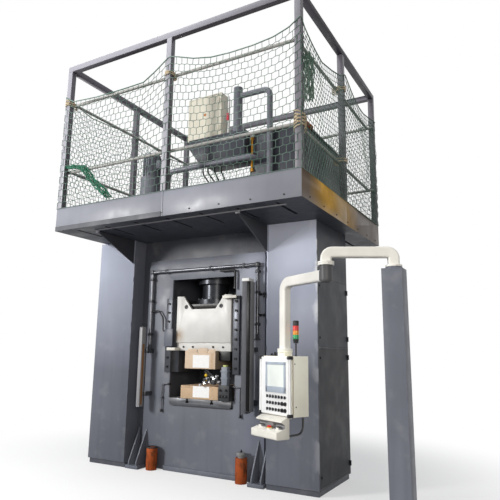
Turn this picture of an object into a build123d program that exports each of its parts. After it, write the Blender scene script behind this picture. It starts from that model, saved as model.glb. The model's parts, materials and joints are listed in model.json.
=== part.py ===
from build123d import *
import math
import os

os.makedirs("parts", exist_ok=True)

# Sizes are in millimetres. +Z is up, the floor is Z = 0 and the ram's axis is the Z axis.
# The front of the press faces -Y.

# General fits and overruns
overrun = 20.0  # how far every cutting shape runs past the face it cuts
running_clearance = 0.1  # radial clearance of a turning or sliding round fit
slide_clearance = 0.3  # clearance of flat sliding faces and of stacked swivel rings
seat_clearance = 0.5  # radial clearance of a part dropped into its seat

# Columns
bay_width = 2220.0
column_width = 690.0
column_depth = 1080.0
column_height = 3154.0
column_wall = 60.0
plinth_height = 65.0
plinth_inset = 20.0
gusset_thickness = 20.0
gusset_reach = 766.0
gusset_height = 360.0
gusset_tip = 24.0

# Doors in the right column
door_thickness = 25.0
door_gap = 3.0
door_front_margin = 25.0
door_rear_margin = 40.0
door_lip = 30.0
lower_door_bottom = 90.0
door_seam_height = 1658.0
door_seam_rail = 20.0
door_top_drop = 704.0
door_hinge_inset = 110.0
door_lock_radius = 14.0
door_lock_height = 8.0
door_lock_inset = 45.0

# Hinges of the doors
hinge_barrel_radius = 10.0
hinge_pin_radius = 5.0
hinge_half_length = 32.0
hinge_leaf_width = 28.0
hinge_leaf_thickness = 8.0
hinge_stand = 11.0
hinge_edge = 10.0

# Press frame between the columns
plate_setback = 210.0
plate_thickness = 30.0
plate_width = 1960.0
plate_lap = 255.0
plate_corner = 30.0
window_width = 1070.0
window_lintel = 47.0
window_corner = 10.0
throat_width = 1240.0
throat_height = 1800.0
crown_depth = 559.0
sill_left = 560.0
sill_right = 640.0
sill_height = 60.0
sill_depth = 40.0
rear_guard_overlap = 40.0
rear_guard_thickness = 12.0
rear_guard_rib = 30.0
rear_guard_rib_count = 4

# Feet with two gusset ribs each
foot_inner = 860.0
foot_outer = 1080.0
foot_reach = 215.0
foot_plate = 45.0
foot_height = 515.0
foot_rib = 20.0
foot_rib_inset = 35.0
foot_toe_height = 40.0
foot_toe_inset = 15.0
foot_hole_radius = 18.0
foot_hole_reach = 110.0

# Floor jacks
jack_place_x = 710.0
jack_place_y = -430.0
jack_radius = 75.0
jack_height = 300.0
jack_recess = 12.0
jack_rim = 10.0
jack_floor = 60.0
jack_plunger_radius = 45.0
jack_plunger_length = 210.0
jack_plunger_rise = 30.0
jack_cap_radius = 62.0
jack_cap_height = 34.0
jack_cap_round = 16.0

# Main cylinder and its plunger
barrel_radius = 250.0
gland_drop = 117.0
barrel_flange_radius = 285.0
barrel_flange_height = 60.0
barrel_end_wall = 70.0
plunger_radius = 190.0
plunger_engagement = 317.0
plunger_flange_radius = 278.0
plunger_flange_height = 65.0
plunger_bolt_radius = 18.0
plunger_bolt_height = 22.0
plunger_bolt_count = 10
plunger_bolt_inset = 38.0

# Ram
ram_width = 910.0
ram_depth = 540.0
ram_cheek = 50.0
die_space_height = 645.0
ram_foot_height = 110.0
ram_foot_inset = 8.0
ram_foot_depth = 600.0
rod_show = 288.0
ram_ear_height = 113.0
notch_top_width = 686.0
notch_bottom_width = 400.0
notch_depth = 75.0
ram_hole_radius = 30.0
ram_hole_place = 293.0
ram_hole_drop = 40.0

# Brackets on the ram
dog_thickness = 25.0
dog_stand = 70.0
dog_height = 40.0
dog_foot = 70.0
upper_dog_inner = 370.0
upper_dog_outer = 585.0
upper_dog_drop = 63.0
lower_dog_outer = 545.0
lower_dog_inner = 400.0
die_clamp_inner = 262.0
die_clamp_outer = 440.0
die_clamp_height = 129.0
die_clamp_depth = 420.0

# Gibs that guide the ram
gib_rise = 343.0
gib_drop = 319.0
gib_strip_width = 100.0
gib_strip_thickness = 30.0
gib_strip_lap = 23.0
gib_guide_depth = 480.0
gib_bolt_radius = 16.0
gib_bolt_height = 20.0
gib_bolt_count = 8
gib_bolt_margin = 75.0

# Bolster and the wrapped dies
bolster_width = 1010.0
bolster_height = 100.0
bolster_nose = 30.0
bolster_rear = 330.0
bolster_chamfer = 26.0
bolster_gap = 4.0
tee_slot_place = 200.0
tee_slot_width = 28.0
tee_slot_depth = 58.0
tee_slot_foot_width = 50.0
tee_slot_foot_height = 22.0
carton_rear = 250.0
carton_nose = 40.0
upper_carton_width = 510.0
upper_carton_height = 245.0
upper_carton_lip_height = 35.0
upper_carton_lip = 45.0
lower_carton_width = 620.0
lower_carton_height = 175.0

# Die sprayer
sprayer_inner = 335.0
sprayer_outer = 500.0
sprayer_nose = 80.0
sprayer_depth = 120.0
sprayer_height = 200.0
sprayer_column_radius = 40.0
sprayer_column_height = 240.0
sprayer_cap_radius = 26.0
sprayer_cap_height = 22.0
lance_radius = 9.0
lance_spacing = 34.0
lance_length = 360.0
lance_angle = 146.0
lance_nose = 18.0

# Pipes on the front plate
pipe_radius = 22.0
pipe_stand = 40.0
pipe_loop_half_width = 890.0
pipe_loop_rise = 82.0
pipe_left_rise = 710.0
pipe_right_rise = 855.0
elbow_size = 64.0
clamp_length = 40.0
clamp_margin = 14.0
clamp_shares = (0.15, 0.6, 0.9)
thin_pipe_radius = 9.0
thin_pipe_stand = 24.0
thin_pipe_bend = 40.0
thin_clip = 26.0
drain_rise = 181.0
drain_length = 376.0
drain_outer = 640.0
drain_inner = 515.0
branch_radius = 15.0
branch_left = 300.0
branch_right = 540.0
branch_drop = 52.0
branch_length = 190.0
branch_bend = 60.0
feed_drop = 584.0
feed_fall = 280.0
feed_knee_share = 0.36
feed_end_share = 0.15

# Light-curtain posts
curtain_width = 75.0
curtain_depth = 130.0
curtain_stand = 95.0
left_curtain_x = -930.0
left_curtain_rise = 307.0
left_curtain_length = 1110.0
right_curtain_x = 797.0
right_curtain_rise = 326.0
right_curtain_length = 1683.0
curtain_lens_width = 30.0
curtain_lens_depth = 10.0
curtain_bracket_width = 90.0
curtain_bracket_height = 60.0
curtain_bracket_offset = 20.0
left_bracket_rises = (146.0, 742.0)
right_bracket_rises = (90.0, 756.0)

# Platform on top of the columns
platform_left = 1715.0
platform_right = 2032.0
platform_front = 1524.0
platform_rear = 1439.0
fascia_height = 329.0
fascia_thickness = 6.0
fascia_joint = 3.0
fascia_bolt_radius = 14.0
fascia_bolt_height = 8.0
fascia_bolt_rise = 46.0
fascia_bolt_spacing = 400.0
deck_slot_width = 40.0
deck_slot_length = 560.0
deck_slot_depth = 60.0
deck_slot_count = 7
deck_slot_margin = 90.0

# Cage on the platform
post_size = 80.0
cage_height = 2174.0
mid_post_x = 160.0
mid_post_y = -60.0
rail_radius = 21.0
upper_rail_height = 1582.0
mid_rail_height = 548.0
rail_end_gap = 12.0

# Safety net outside the posts
net_thickness = 4.0
net_hang = 12.0
net_front_ties = (1639.0, 1820.0, 1792.0)
net_right_ties = (1792.0, 1822.0, 1709.0)
net_rear_ties = (1709.0, 1790.0, 1650.0)
net_left_ties = (1650.0, 1740.0, 1639.0)
net_sag = 130.0
net_columns = 15
net_rows = 8
net_edge = 45.0
net_hole_share = 0.86

# Hydraulic power unit on the platform
tank_left = 1040.0
tank_right = 1800.0
tank_front = -900.0
tank_rear = 600.0
tank_height = 780.0
tank_corner = 40.0
tank_lid_overhang = 18.0
tank_lid_height = 22.0
tank_cap_radius = 60.0
tank_cap_height = 70.0
tank_cap_inset = 160.0
manifold_left = 170.0
manifold_front = -1030.0
manifold_depth = 420.0
manifold_bottom = 490.0
manifold_height = 340.0
manifold_slope_width = 170.0
manifold_slope_height = 230.0
valve_radius = 32.0
valve_length = 110.0
valve_count = 5
suction_radius = 35.0
suction_left = -120.0
suction_level = 425.0
suction_front = -1070.0
suction_port = 1180.0
suction_bend = 95.0
riser_radius = 60.0
riser_x = 895.0
riser_y = -965.0
riser_height = 620.0
return_radius = 37.0
return_x = 1362.0
return_drop = 115.0
return_bend = 90.0
return_flange_radius = 60.0
return_flange_height = 20.0
gauge_radius = 13.0
gauge_inset = 45.0
gauge_bottom = 285.0
gauge_top = 745.0
gauge_block = 34.0
motor_x = -470.0
motor_y = -1000.0
bell_radius = 150.0
bell_height = 402.0
motor_radius = 115.0
motor_height = 350.0
motor_fin_count = 20
motor_fin_height = 12.0
motor_fin_width = 8.0
motor_dome = 25.0
terminal_width = 110.0
terminal_depth = 60.0
terminal_height = 120.0
cabinet_left = 130.0
cabinet_right = 660.0
cabinet_front = -1000.0
cabinet_depth = 220.0
cabinet_height = 610.0
cabinet_wall = 20.0
cabinet_door_thickness = 20.0
cabinet_door_margin = 20.0
cabinet_hinge_margin = 42.0
cabinet_hinge_inset = 90.0
cabinet_lock_radius = 16.0

# Stand of the swing arm
stand_x = 2895.0
stand_y = -1262.0
stand_size = 200.0
stand_height = 2420.0
stand_base = 400.0
stand_base_thickness = 20.0
stand_hole_spacing = 320.0
stand_hole_radius = 9.0
ring_radius = 82.0
ring_height = 20.0
spigot_radius = 30.0
spigot_height = 42.0

# Swing arms
inner_arm_reach = 665.0
inner_arm_heading = 205.6
inner_arm_level = 2587.0
inner_arm_end_drop = 92.0
outer_arm_reach = 727.0
outer_arm_heading = 149.4
outer_arm_level = 2359.0
arm_width = 90.0
arm_height = 110.0
arm_corner = 20.0
inner_arm_bend = 62.0
outer_arm_bend = 100.0
elbow_cap_radius = 62.0
elbow_cap_drop = 75.0
elbow_cap_round = 30.0
drop_tube_bottom = 1640.0

# Pendant that hangs from the outer arm, in its own turned frame
pendant_yaw = -25.3
pendant_width = 532.0
pendant_height = 610.0
pendant_bottom = 951.0
pendant_depth = 258.0
pendant_rear = 109.0
pendant_box_width = 512.0
pendant_box_corner = 8.0
pendant_neck = 110.0
panel_thickness = 40.0
panel_width = 460.0
panel_inset = 9.0
handle_bar_radius = 14.0
handle_corner_height = 34.0
handle_corner_depth = 58.0
screen_left_share = 0.233
screen_right_share = 0.867
screen_top_share = 0.10
screen_bottom_share = 0.613
screen_thickness = 8.0
screen_border = 30.0
screen_recess = 3.0
panel_button_row_shares = (0.682, 0.787, 0.895)
panel_button_left_share = 0.297
panel_button_right_share = 0.848
panel_button_columns = 7
panel_button_radius = 12.0
panel_button_height = 12.0
beacon_x = 151.0
beacon_y = 26.0
beacon_pole_radius = 8.0
beacon_pole_height = 134.0
beacon_base_radius = 27.0
beacon_base_height = 25.0
beacon_radius = 32.5
beacon_height = 217.0

# Two-hand console below the pendant
console_width = 430.0
console_drop = 211.0
console_neck = -82.0
console_neck_height = 16.0
console_rear = -118.0
console_nose = -287.0
console_nose_height = 75.0
console_chin = 10.0
pocket_back = -172.0
pocket_floor_drop = 103.0
pocket_roof_drop = 77.0
pocket_middle_width = 100.0
pocket_middle_front = -200.0
roof_tip = -225.0
roof_tip_drop = 32.0
roof_edge = 14.0
start_button_radius = 22.0
start_button_height = 20.0
start_button_travel = 6.0
start_boss_radius = 32.0
start_boss_height = 14.0
start_button_x = 144.0
start_button_y = -200.0
estop_x = 32.0
estop_y = -235.0
estop_shaft_radius = 12.0
estop_shaft_length = 24.0
estop_head_radius = 21.0
estop_head_height = 15.0
estop_head_round = 6.0
estop_travel = 5.0
estop_boss_radius = 30.0

# Conduit from the pendant box to the console: its route in the pendant's frame
conduit_radius = 11.0
conduit_route = (
    (188.0, 86.0, 951.0),
    (188.0, 86.0, 855.0),
    (187.0, 76.0, 806.0),
    (186.0, 48.0, 778.0),
    (185.0, 6.0, 767.0),
    (185.0, -118.0, 767.0),
)

# Sizes that follow from the ones above
column_inner = bay_width / 2
column_outer = column_inner + column_width
column_front = -column_depth / 2
column_rear = column_depth / 2
column_top = plinth_height + column_height
plate_front = column_front + plate_setback
body_front = plate_front + plate_thickness
crown_bottom = column_top - crown_depth
bed_top = crown_bottom - throat_height
plate_height = crown_bottom + plate_lap
window_top = crown_bottom - window_lintel
upper_door_top = column_top - door_top_drop
gland_bottom = crown_bottom - gland_drop
plunger_top = gland_bottom + plunger_engagement
ram_block_top = gland_bottom - rod_show
ram_ear_top = ram_block_top + ram_ear_height
notch_bottom = ram_block_top - notch_depth
ram_hole_height = ram_block_top - ram_hole_drop
bolster_top = bed_top + bolster_height
ram_bottom = bolster_top + die_space_height
gib_bottom = bolster_top + gib_rise
gib_top = crown_bottom - gib_drop
pipe_loop_top = crown_bottom + pipe_loop_rise
pipe_left_end = bolster_top + pipe_left_rise
pipe_right_end = bolster_top + pipe_right_rise
drain_level = bolster_top + drain_rise
drain_bottom = drain_level - drain_length
branch_level = pipe_loop_top - branch_drop
branch_bottom = branch_level - branch_length
feed_start_height = pipe_loop_top - feed_drop
feed_end_height = feed_start_height - feed_fall
bolster_front = plate_front - bolster_nose
carton_front = plate_front - carton_nose
ram_front = -ram_depth / 2 - ram_cheek
deck_top = column_top + fascia_height
cage_top = deck_top + cage_height
manifold_top = deck_top + manifold_bottom + manifold_height
pendant_top = pendant_bottom + pendant_height
panel_front = pendant_rear - pendant_depth
panel_rear = panel_front + panel_thickness
quarter_turn = 90.0
half_turn = 180.0


def block(x, y, z):
    """A box between two limits on each axis."""
    centre = Pos((x[0] + x[1]) / 2, (y[0] + y[1]) / 2, (z[0] + z[1]) / 2)
    return centre * Box(x[1] - x[0], y[1] - y[0], z[1] - z[0])


def round_bar(radius, length, start, direction="Z"):
    """A round bar that starts at a point and runs along a positive axis."""
    turns = {"X": Rot(0, quarter_turn, 0), "Y": Rot(-quarter_turn, 0, 0), "Z": Rot(0, 0, 0)}
    bar = Cylinder(radius, length, align=(Align.CENTER, Align.CENTER, Align.MIN))
    return Pos(*start) * turns[direction] * bar


def side_profile(points, start, thickness):
    """A plate cut to an outline of (y, z) points, from x = start over its thickness."""
    outline = Plane.YZ.offset(start) * Polygon(*points, align=None)
    return extrude(outline, amount=thickness, dir=(1, 0, 0))


def front_profile(points, start, thickness):
    """A plate cut to an outline of (x, z) points, from y = start backwards over its thickness."""
    outline = Plane.XZ.offset(-start) * Polygon(*points, align=None)
    return extrude(outline, amount=thickness, dir=(0, 1, 0))


def bent_pipe(radius, points, bend):
    """A pipe of straight runs joined by tangent bends."""
    path = FilletPolyline(*points, radius=bend)
    return sweep(Plane(origin=path @ 0, z_dir=path % 0) * Circle(radius), path=path)


def mirrored(shape):
    """The same piece on the other side of the press."""
    return mirror(shape, about=Plane.YZ)


def press_body():
    """The welded frame: bed, crown and uprights round the throat, with plinths under the columns."""
    body = block((-column_inner, column_inner), (body_front, column_rear), (0, column_top))
    throat_x = (-throat_width / 2, throat_width / 2)
    throat_y = (body_front - overrun, column_rear + overrun)
    body -= block(throat_x, throat_y, (bed_top, crown_bottom))
    bore_length = column_top - crown_bottom + 2 * overrun
    body -= round_bar(barrel_radius + seat_clearance, bore_length, (0, 0, crown_bottom - overrun))
    ledge = column_top - barrel_flange_height
    body -= round_bar(barrel_flange_radius + seat_clearance, barrel_flange_height + overrun, (0, 0, ledge))
    plinth_y = (column_front + plinth_inset, column_rear - plinth_inset)
    plinth = block((column_inner, column_outer - plinth_inset), plinth_y, (0, plinth_height))
    return body + plinth + mirrored(plinth)


def front_plate():
    """The thick front plate with its window, bolster notch and the sill bar on the floor."""
    plate = block((-plate_width / 2, plate_width / 2), (plate_front, body_front), (0, plate_height))
    top_corners = plate.edges().filter_by(Axis.Y).group_by(Axis.Z)[-1]
    plate = fillet(top_corners, plate_corner)
    cut_y = (plate_front - overrun, body_front + overrun)
    window = block((-window_width / 2, window_width / 2), cut_y, (bolster_top, window_top))
    window = fillet(window.edges().filter_by(Axis.Y).group_by(Axis.Z)[-1], window_corner)
    notch_half = bolster_width / 2 + bolster_gap
    notch = block((-notch_half, notch_half), cut_y, (bed_top, bolster_top + overrun))
    sill = block((-sill_left, sill_right), (plate_front - sill_depth, plate_front), (0, sill_height))
    return plate - window - notch + sill


def gusset():
    """The tapered plate that carries the platform's overhang in front of a column."""
    tip = column_front - gusset_reach
    points = [
        (column_front, column_top - gusset_height),
        (column_front, column_top),
        (tip, column_top),
        (tip, column_top - gusset_tip),
    ]
    return side_profile(points, column_inner, gusset_thickness)


def plain_column():
    """A closed clad column with its gusset, drawn on the right-hand side."""
    box_y = (column_front, column_rear)
    return block((column_inner, column_outer), box_y, (plinth_height, column_top)) + gusset()


def door_limits(name):
    """The lower and upper edge of one of the right column's doors."""
    limits = {
        "right_lower_door": (lower_door_bottom, door_seam_height - door_seam_rail / 2),
        "right_upper_door": (door_seam_height + door_seam_rail / 2, upper_door_top),
    }
    return limits[name]


def hinge_levels(limits, inset):
    """The parting heights of a door's two hinges."""
    return (limits[0] + inset, limits[1] - inset)


def fixed_hinge(level):
    """The half of a hinge that stays put, about its pin on the Z axis, with the wall at -X."""
    low = level - hinge_half_length
    leaf_x = (-hinge_stand, -hinge_stand + hinge_leaf_thickness)
    leaf = block(leaf_x, (0, hinge_leaf_width), (low, level))
    barrel = round_bar(hinge_barrel_radius, hinge_half_length, (0, 0, low))
    pin = round_bar(hinge_pin_radius, 2 * hinge_half_length, (0, 0, low))
    return leaf + barrel + pin


def hinged_door(width, thickness, limits, inset):
    """A flush door with its hinge halves, about its pin on the Z axis, opening towards +X."""
    outer = -hinge_stand
    door = block((outer - thickness, outer), (-hinge_edge - width, -hinge_edge), limits)
    for level in hinge_levels(limits, inset):
        low = level + slide_clearance
        high = level + hinge_half_length
        leaf_x = (outer - thickness / 2, outer + hinge_leaf_thickness)
        door += block(leaf_x, (-hinge_leaf_width, -hinge_edge), (low, high))
        door += block((outer + seat_clearance, leaf_x[1]), (-hinge_edge, 0), (low, high))
        door += round_bar(hinge_barrel_radius, high - low, (0, 0, low))
        bore_radius = hinge_pin_radius + running_clearance
        door -= round_bar(bore_radius, high - low + 2 * overrun, (0, 0, low - overrun))
    return door


def door_recess(width, thickness, limits, cavity_depth):
    """What a flush door takes out of the wall that it closes, with the space behind it."""
    outer = -hinge_stand
    recess_y = (-hinge_edge - width - door_gap, -hinge_edge + door_gap)
    recess_x = (outer - thickness - door_gap, outer + overrun)
    recess = block(recess_x, recess_y, (limits[0] - door_gap, limits[1] + door_gap))
    cavity_y = (recess_y[0] + door_lip, recess_y[1] - door_lip)
    cavity = block((outer - cavity_depth, outer), cavity_y, (limits[0] + door_lip, limits[1] - door_lip))
    return recess + cavity


right_door_width = column_depth - door_front_margin - door_rear_margin
right_hinge_x = column_outer + hinge_stand
right_hinge_y = column_rear - door_rear_margin + hinge_edge
right_hinge = Pos(right_hinge_x, right_hinge_y, 0)


def right_column():
    """The column with two door openings in its outer side and the fixed hinge halves."""
    column = plain_column()
    for name in ("right_lower_door", "right_upper_door"):
        limits = door_limits(name)
        cavity_depth = column_width - column_wall
        column -= right_hinge * door_recess(right_door_width, door_thickness, limits, cavity_depth)
        for level in hinge_levels(limits, door_hinge_inset):
            column += right_hinge * fixed_hinge(level)
    return column


def right_door(name):
    """One of the right column's doors with its two turn locks."""
    limits = door_limits(name)
    door = hinged_door(right_door_width, door_thickness, limits, door_hinge_inset)
    lock_y = -hinge_edge - right_door_width + door_lock_inset
    for level in hinge_levels(limits, door_hinge_inset):
        door += round_bar(door_lock_radius, door_lock_height, (-hinge_stand, lock_y, level), "X")
    return right_hinge * door


def foot():
    """A floor bracket: base plate with an anchor hole and two tapered ribs against the front plate."""
    toe = plate_front - foot_reach
    solid = block((foot_inner, foot_outer), (toe, plate_front), (0, foot_plate))
    points = [
        (plate_front, foot_plate),
        (plate_front, foot_height),
        (toe + foot_toe_inset, foot_plate + foot_toe_height),
        (toe + foot_toe_inset, foot_plate),
    ]
    for start in (foot_inner + foot_rib_inset, foot_outer - foot_rib_inset - foot_rib):
        solid += side_profile(points, start, foot_rib)
    hole_x = (foot_inner + foot_outer) / 2
    hole_y = plate_front - foot_hole_reach
    return solid - round_bar(foot_hole_radius, foot_plate + 2 * overrun, (hole_x, hole_y, -overrun))


def left_jack_body():
    """The retracted floor jack: a can with a sunk top inside its rim."""
    place = (-jack_place_x, jack_place_y)
    can = round_bar(jack_radius, jack_height, (*place, 0))
    return can - round_bar(jack_radius - jack_rim, jack_recess + overrun, (*place, jack_height - jack_recess))


def right_jack_body():
    """The raised floor jack's can with the bore for its plunger."""
    place = (jack_place_x, jack_place_y)
    can = round_bar(jack_radius, jack_height, (*place, 0))
    bore = round_bar(jack_plunger_radius + running_clearance, jack_height, (*place, jack_floor))
    return can - bore


def right_jack_plunger():
    """The jack's plunger with a rounded cap above the can."""
    place = (jack_place_x, jack_place_y)
    top = jack_height + jack_plunger_rise
    plunger = round_bar(jack_plunger_radius, jack_plunger_length, (*place, top - jack_plunger_length))
    cap = round_bar(jack_cap_radius, jack_cap_height, (*place, top))
    cap = fillet(cap.edges().group_by(Axis.Z)[-1], jack_cap_round)
    return plunger + cap


def main_cylinder():
    """The cylinder barrel hung from its flange in the crown, with the gland below it."""
    barrel = round_bar(barrel_radius, column_top - gland_bottom, (0, 0, gland_bottom))
    ledge = column_top - barrel_flange_height
    barrel += round_bar(barrel_flange_radius, barrel_flange_height, (0, 0, ledge))
    bore_length = column_top - barrel_end_wall - gland_bottom + overrun
    return barrel - round_bar(plunger_radius + running_clearance, bore_length, (0, 0, gland_bottom - overrun))


def piston_rod():
    """The plunger with its bolted flange on the ram."""
    rod = round_bar(plunger_radius, plunger_top - ram_block_top, (0, 0, ram_block_top))
    rod += round_bar(plunger_flange_radius, plunger_flange_height, (0, 0, ram_block_top))
    ring = plunger_flange_radius - plunger_bolt_inset
    flange_top = ram_block_top + plunger_flange_height
    bolt = round_bar(plunger_bolt_radius, plunger_bolt_height, (ring, 0, flange_top))
    for number in range(plunger_bolt_count):
        rod += Rot(0, 0, number * 2 * half_turn / plunger_bolt_count) * bolt
    return rod


def ram():
    """The ram: a block between two notched cheek plates, on a stepped foot."""
    block_bottom = ram_bottom + ram_foot_height
    half_width = ram_width / 2
    half_depth = ram_depth / 2
    solid = block((-half_width, half_width), (-half_depth, half_depth), (block_bottom, ram_block_top))
    cheek_points = [
        (-half_width, block_bottom),
        (half_width, block_bottom),
        (half_width, ram_ear_top),
        (notch_top_width / 2, ram_ear_top),
        (notch_bottom_width / 2, notch_bottom),
        (-notch_bottom_width / 2, notch_bottom),
        (-notch_top_width / 2, ram_ear_top),
        (-half_width, ram_ear_top),
    ]
    for start in (ram_front, half_depth):
        cheek = front_profile(cheek_points, start, ram_cheek)
        for side in (-1, 1):
            hole_start = (side * ram_hole_place, start - overrun, ram_hole_height)
            cheek -= round_bar(ram_hole_radius, ram_cheek + overrun, hole_start, "Y")
        solid += cheek
    foot_half = half_width - ram_foot_inset
    foot_y = (-ram_foot_depth / 2, ram_foot_depth / 2)
    return solid + block((-foot_half, foot_half), foot_y, (ram_bottom, block_bottom))


def ram_brackets():
    """The two trip dogs on the ram's front and the clamp beside the upper die."""
    dog_front = ram_front - dog_stand - dog_thickness
    dog_y = (dog_front, dog_front + dog_thickness)
    upper_z = (ram_ear_top - upper_dog_drop, ram_ear_top - upper_dog_drop + dog_height)
    upper = block((upper_dog_inner, upper_dog_outer), dog_y, upper_z)
    upper += block((upper_dog_inner, upper_dog_inner + dog_foot), (dog_y[1], ram_front), upper_z)
    lower_z = (ram_bottom, ram_bottom + dog_height)
    lower = block((-lower_dog_outer, -lower_dog_inner), dog_y, lower_z)
    foot_x = (-lower_dog_inner - dog_foot, -lower_dog_inner)
    lower += block(foot_x, (dog_y[1], -ram_foot_depth / 2), lower_z)
    clamp_y = (-ram_foot_depth / 2, die_clamp_depth - ram_foot_depth / 2)
    clamp = block((die_clamp_inner, die_clamp_outer), clamp_y, (ram_bottom - die_clamp_height, ram_bottom))
    return Compound([upper, lower, clamp])


def upper_die_carton():
    """The upper die in its cardboard wrapping, with a flap that laps the ram's foot."""
    half = upper_carton_width / 2
    bottom = ram_bottom - upper_carton_height
    carton = block((-half, half), (carton_front, carton_rear), (bottom, ram_bottom))
    lip_y = (carton_front, carton_front + upper_carton_lip)
    return carton + block((-half, half), lip_y, (ram_bottom, ram_bottom + upper_carton_lip_height))


def lower_die_carton():
    """The lower die in its cardboard wrapping on the bolster."""
    half = lower_carton_width / 2
    return block((-half, half), (carton_front, carton_rear), (bolster_top, bolster_top + lower_carton_height))


def gib(side):
    """A guide rail of the ram with the bolted strip that holds it at the window's edge."""
    window_edge = window_width / 2
    levels = (gib_bottom, gib_top)
    strip_inner = window_edge - gib_strip_lap
    strip_y = (plate_front - gib_strip_thickness, plate_front)
    strip = block((strip_inner, strip_inner + gib_strip_width), strip_y, levels)
    guide_front = -gib_guide_depth / 2
    web = block((strip_inner, window_edge), (plate_front, guide_front), levels)
    guide_x = (ram_width / 2 + slide_clearance, throat_width / 2)
    guide = block(guide_x, (guide_front, gib_guide_depth / 2), levels)
    rail = strip + web + guide
    return rail if side > 0 else mirrored(rail)


def gib_bolts():
    """The socket screws down both gib strips."""
    strip_middle = window_width / 2 - gib_strip_lap + gib_strip_width / 2
    head_front = plate_front - gib_strip_thickness - gib_bolt_height
    first = gib_bottom + gib_bolt_margin
    pitch = (gib_top - gib_bolt_margin - first) / (gib_bolt_count - 1)
    heads = []
    for side in (-1, 1):
        for number in range(gib_bolt_count):
            place = (side * strip_middle, head_front, first + number * pitch)
            heads.append(round_bar(gib_bolt_radius, gib_bolt_height, place, "Y"))
    return Compound(heads)


def bolster():
    """The bolster plate with two T-slots and a nose that stands out of the front plate."""
    half = bolster_width / 2
    points = [
        (-half, bolster_top),
        (-half, bed_top + bolster_chamfer),
        (-half + bolster_chamfer, bed_top),
        (half - bolster_chamfer, bed_top),
        (half, bed_top + bolster_chamfer),
        (half, bolster_top),
    ]
    plate = front_profile(points, bolster_front, bolster_rear - bolster_front)
    slot_y = (bolster_front - overrun, bolster_rear + overrun)
    slot_floor = bolster_top - tee_slot_depth
    for side in (-1, 1):
        middle = side * tee_slot_place
        neck = (middle - tee_slot_width / 2, middle + tee_slot_width / 2)
        foot_x = (middle - tee_slot_foot_width / 2, middle + tee_slot_foot_width / 2)
        plate -= block(neck, slot_y, (slot_floor, bolster_top + overrun))
        plate -= block(foot_x, slot_y, (slot_floor, slot_floor + tee_slot_foot_height))
    return plate


def die_sprayer():
    """The spray block beside the lower die with its valve column and two lances."""
    front = plate_front - sprayer_nose
    top = bolster_top + sprayer_height
    solid = block((sprayer_inner, sprayer_outer), (front, front + sprayer_depth), (bolster_top, top))
    column_x = (sprayer_inner + sprayer_outer) / 2
    column_y = front + sprayer_column_radius
    solid += round_bar(sprayer_column_radius, sprayer_column_height, (column_x, column_y, top))
    cap_base = top + sprayer_column_height
    solid += round_bar(sprayer_cap_radius, sprayer_cap_height, (column_x, column_y, cap_base))
    lance = round_bar(lance_radius, lance_length, (0, 0, 0), "X")
    for number in range(2):
        root = (sprayer_inner + lance_spacing, front + lance_nose, top - lance_spacing * (1 + number))
        solid += Pos(*root) * Rot(0, -lance_angle, 0) * lance
    return solid


pipe_axis_y = plate_front - pipe_stand
thin_axis_y = plate_front - thin_pipe_stand


def pipe_runs():
    """The start and length of the loop's three straight pipes."""
    gap = elbow_size / 2
    half = pipe_loop_half_width
    top = pipe_loop_top
    return {
        "top": ((-half + gap, pipe_axis_y, top), 2 * (half - gap), "X"),
        "left": ((-half, pipe_axis_y, pipe_left_end), top - gap - pipe_left_end, "Z"),
        "right": ((half, pipe_axis_y, pipe_right_end), top - gap - pipe_right_end, "Z"),
    }


def pipe_loop():
    """The three straight pipes of the loop round the window."""
    runs = pipe_runs().values()
    return Compound([round_bar(pipe_radius, length, start, way) for start, length, way in runs])


def pipe_clamps():
    """Elbow blocks, end blocks and pipe clamps that hold the pipes on the front plate."""
    solids = []
    half_elbow = elbow_size / 2
    block_y = (pipe_axis_y - half_elbow, plate_front)
    ends = [
        (-pipe_loop_half_width, pipe_loop_top),
        (pipe_loop_half_width, pipe_loop_top),
        (-pipe_loop_half_width, pipe_left_end - half_elbow),
        (pipe_loop_half_width, pipe_right_end - half_elbow),
    ]
    for x, z in ends:
        solids.append(block((x - half_elbow, x + half_elbow), block_y, (z - half_elbow, z + half_elbow)))
    reach = pipe_radius + clamp_margin
    clamp_y = (pipe_axis_y - reach, plate_front)
    for start, length, way in pipe_runs().values():
        for share in clamp_shares:
            along = share * length
            if way == "X":
                middle = start[0] + along
                x = (middle - clamp_length / 2, middle + clamp_length / 2)
                z = (start[2] - reach, start[2] + reach)
            else:
                middle = start[2] + along
                x = (start[0] - reach, start[0] + reach)
                z = (middle - clamp_length / 2, middle + clamp_length / 2)
            bored = round_bar(pipe_radius + slide_clearance, length, start, way)
            solids.append(block(x, clamp_y, z) - bored)
    clip_z = ((drain_level + drain_bottom - thin_clip) / 2, (drain_level + drain_bottom + thin_clip) / 2)
    clip_y = (thin_axis_y - thin_clip / 2, plate_front)
    for side in (-1, 1):
        middle = side * drain_outer
        clip = block((middle - thin_clip / 2, middle + thin_clip / 2), clip_y, clip_z)
        start = (middle, thin_axis_y, drain_bottom)
        solids.append(clip - round_bar(thin_pipe_radius + slide_clearance, drain_level - drain_bottom, start))
    end_x = (branch_right - half_elbow, branch_right + half_elbow)
    solids.append(block(end_x, block_y, (branch_bottom - elbow_size, branch_bottom)))
    return Compound(solids)


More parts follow.
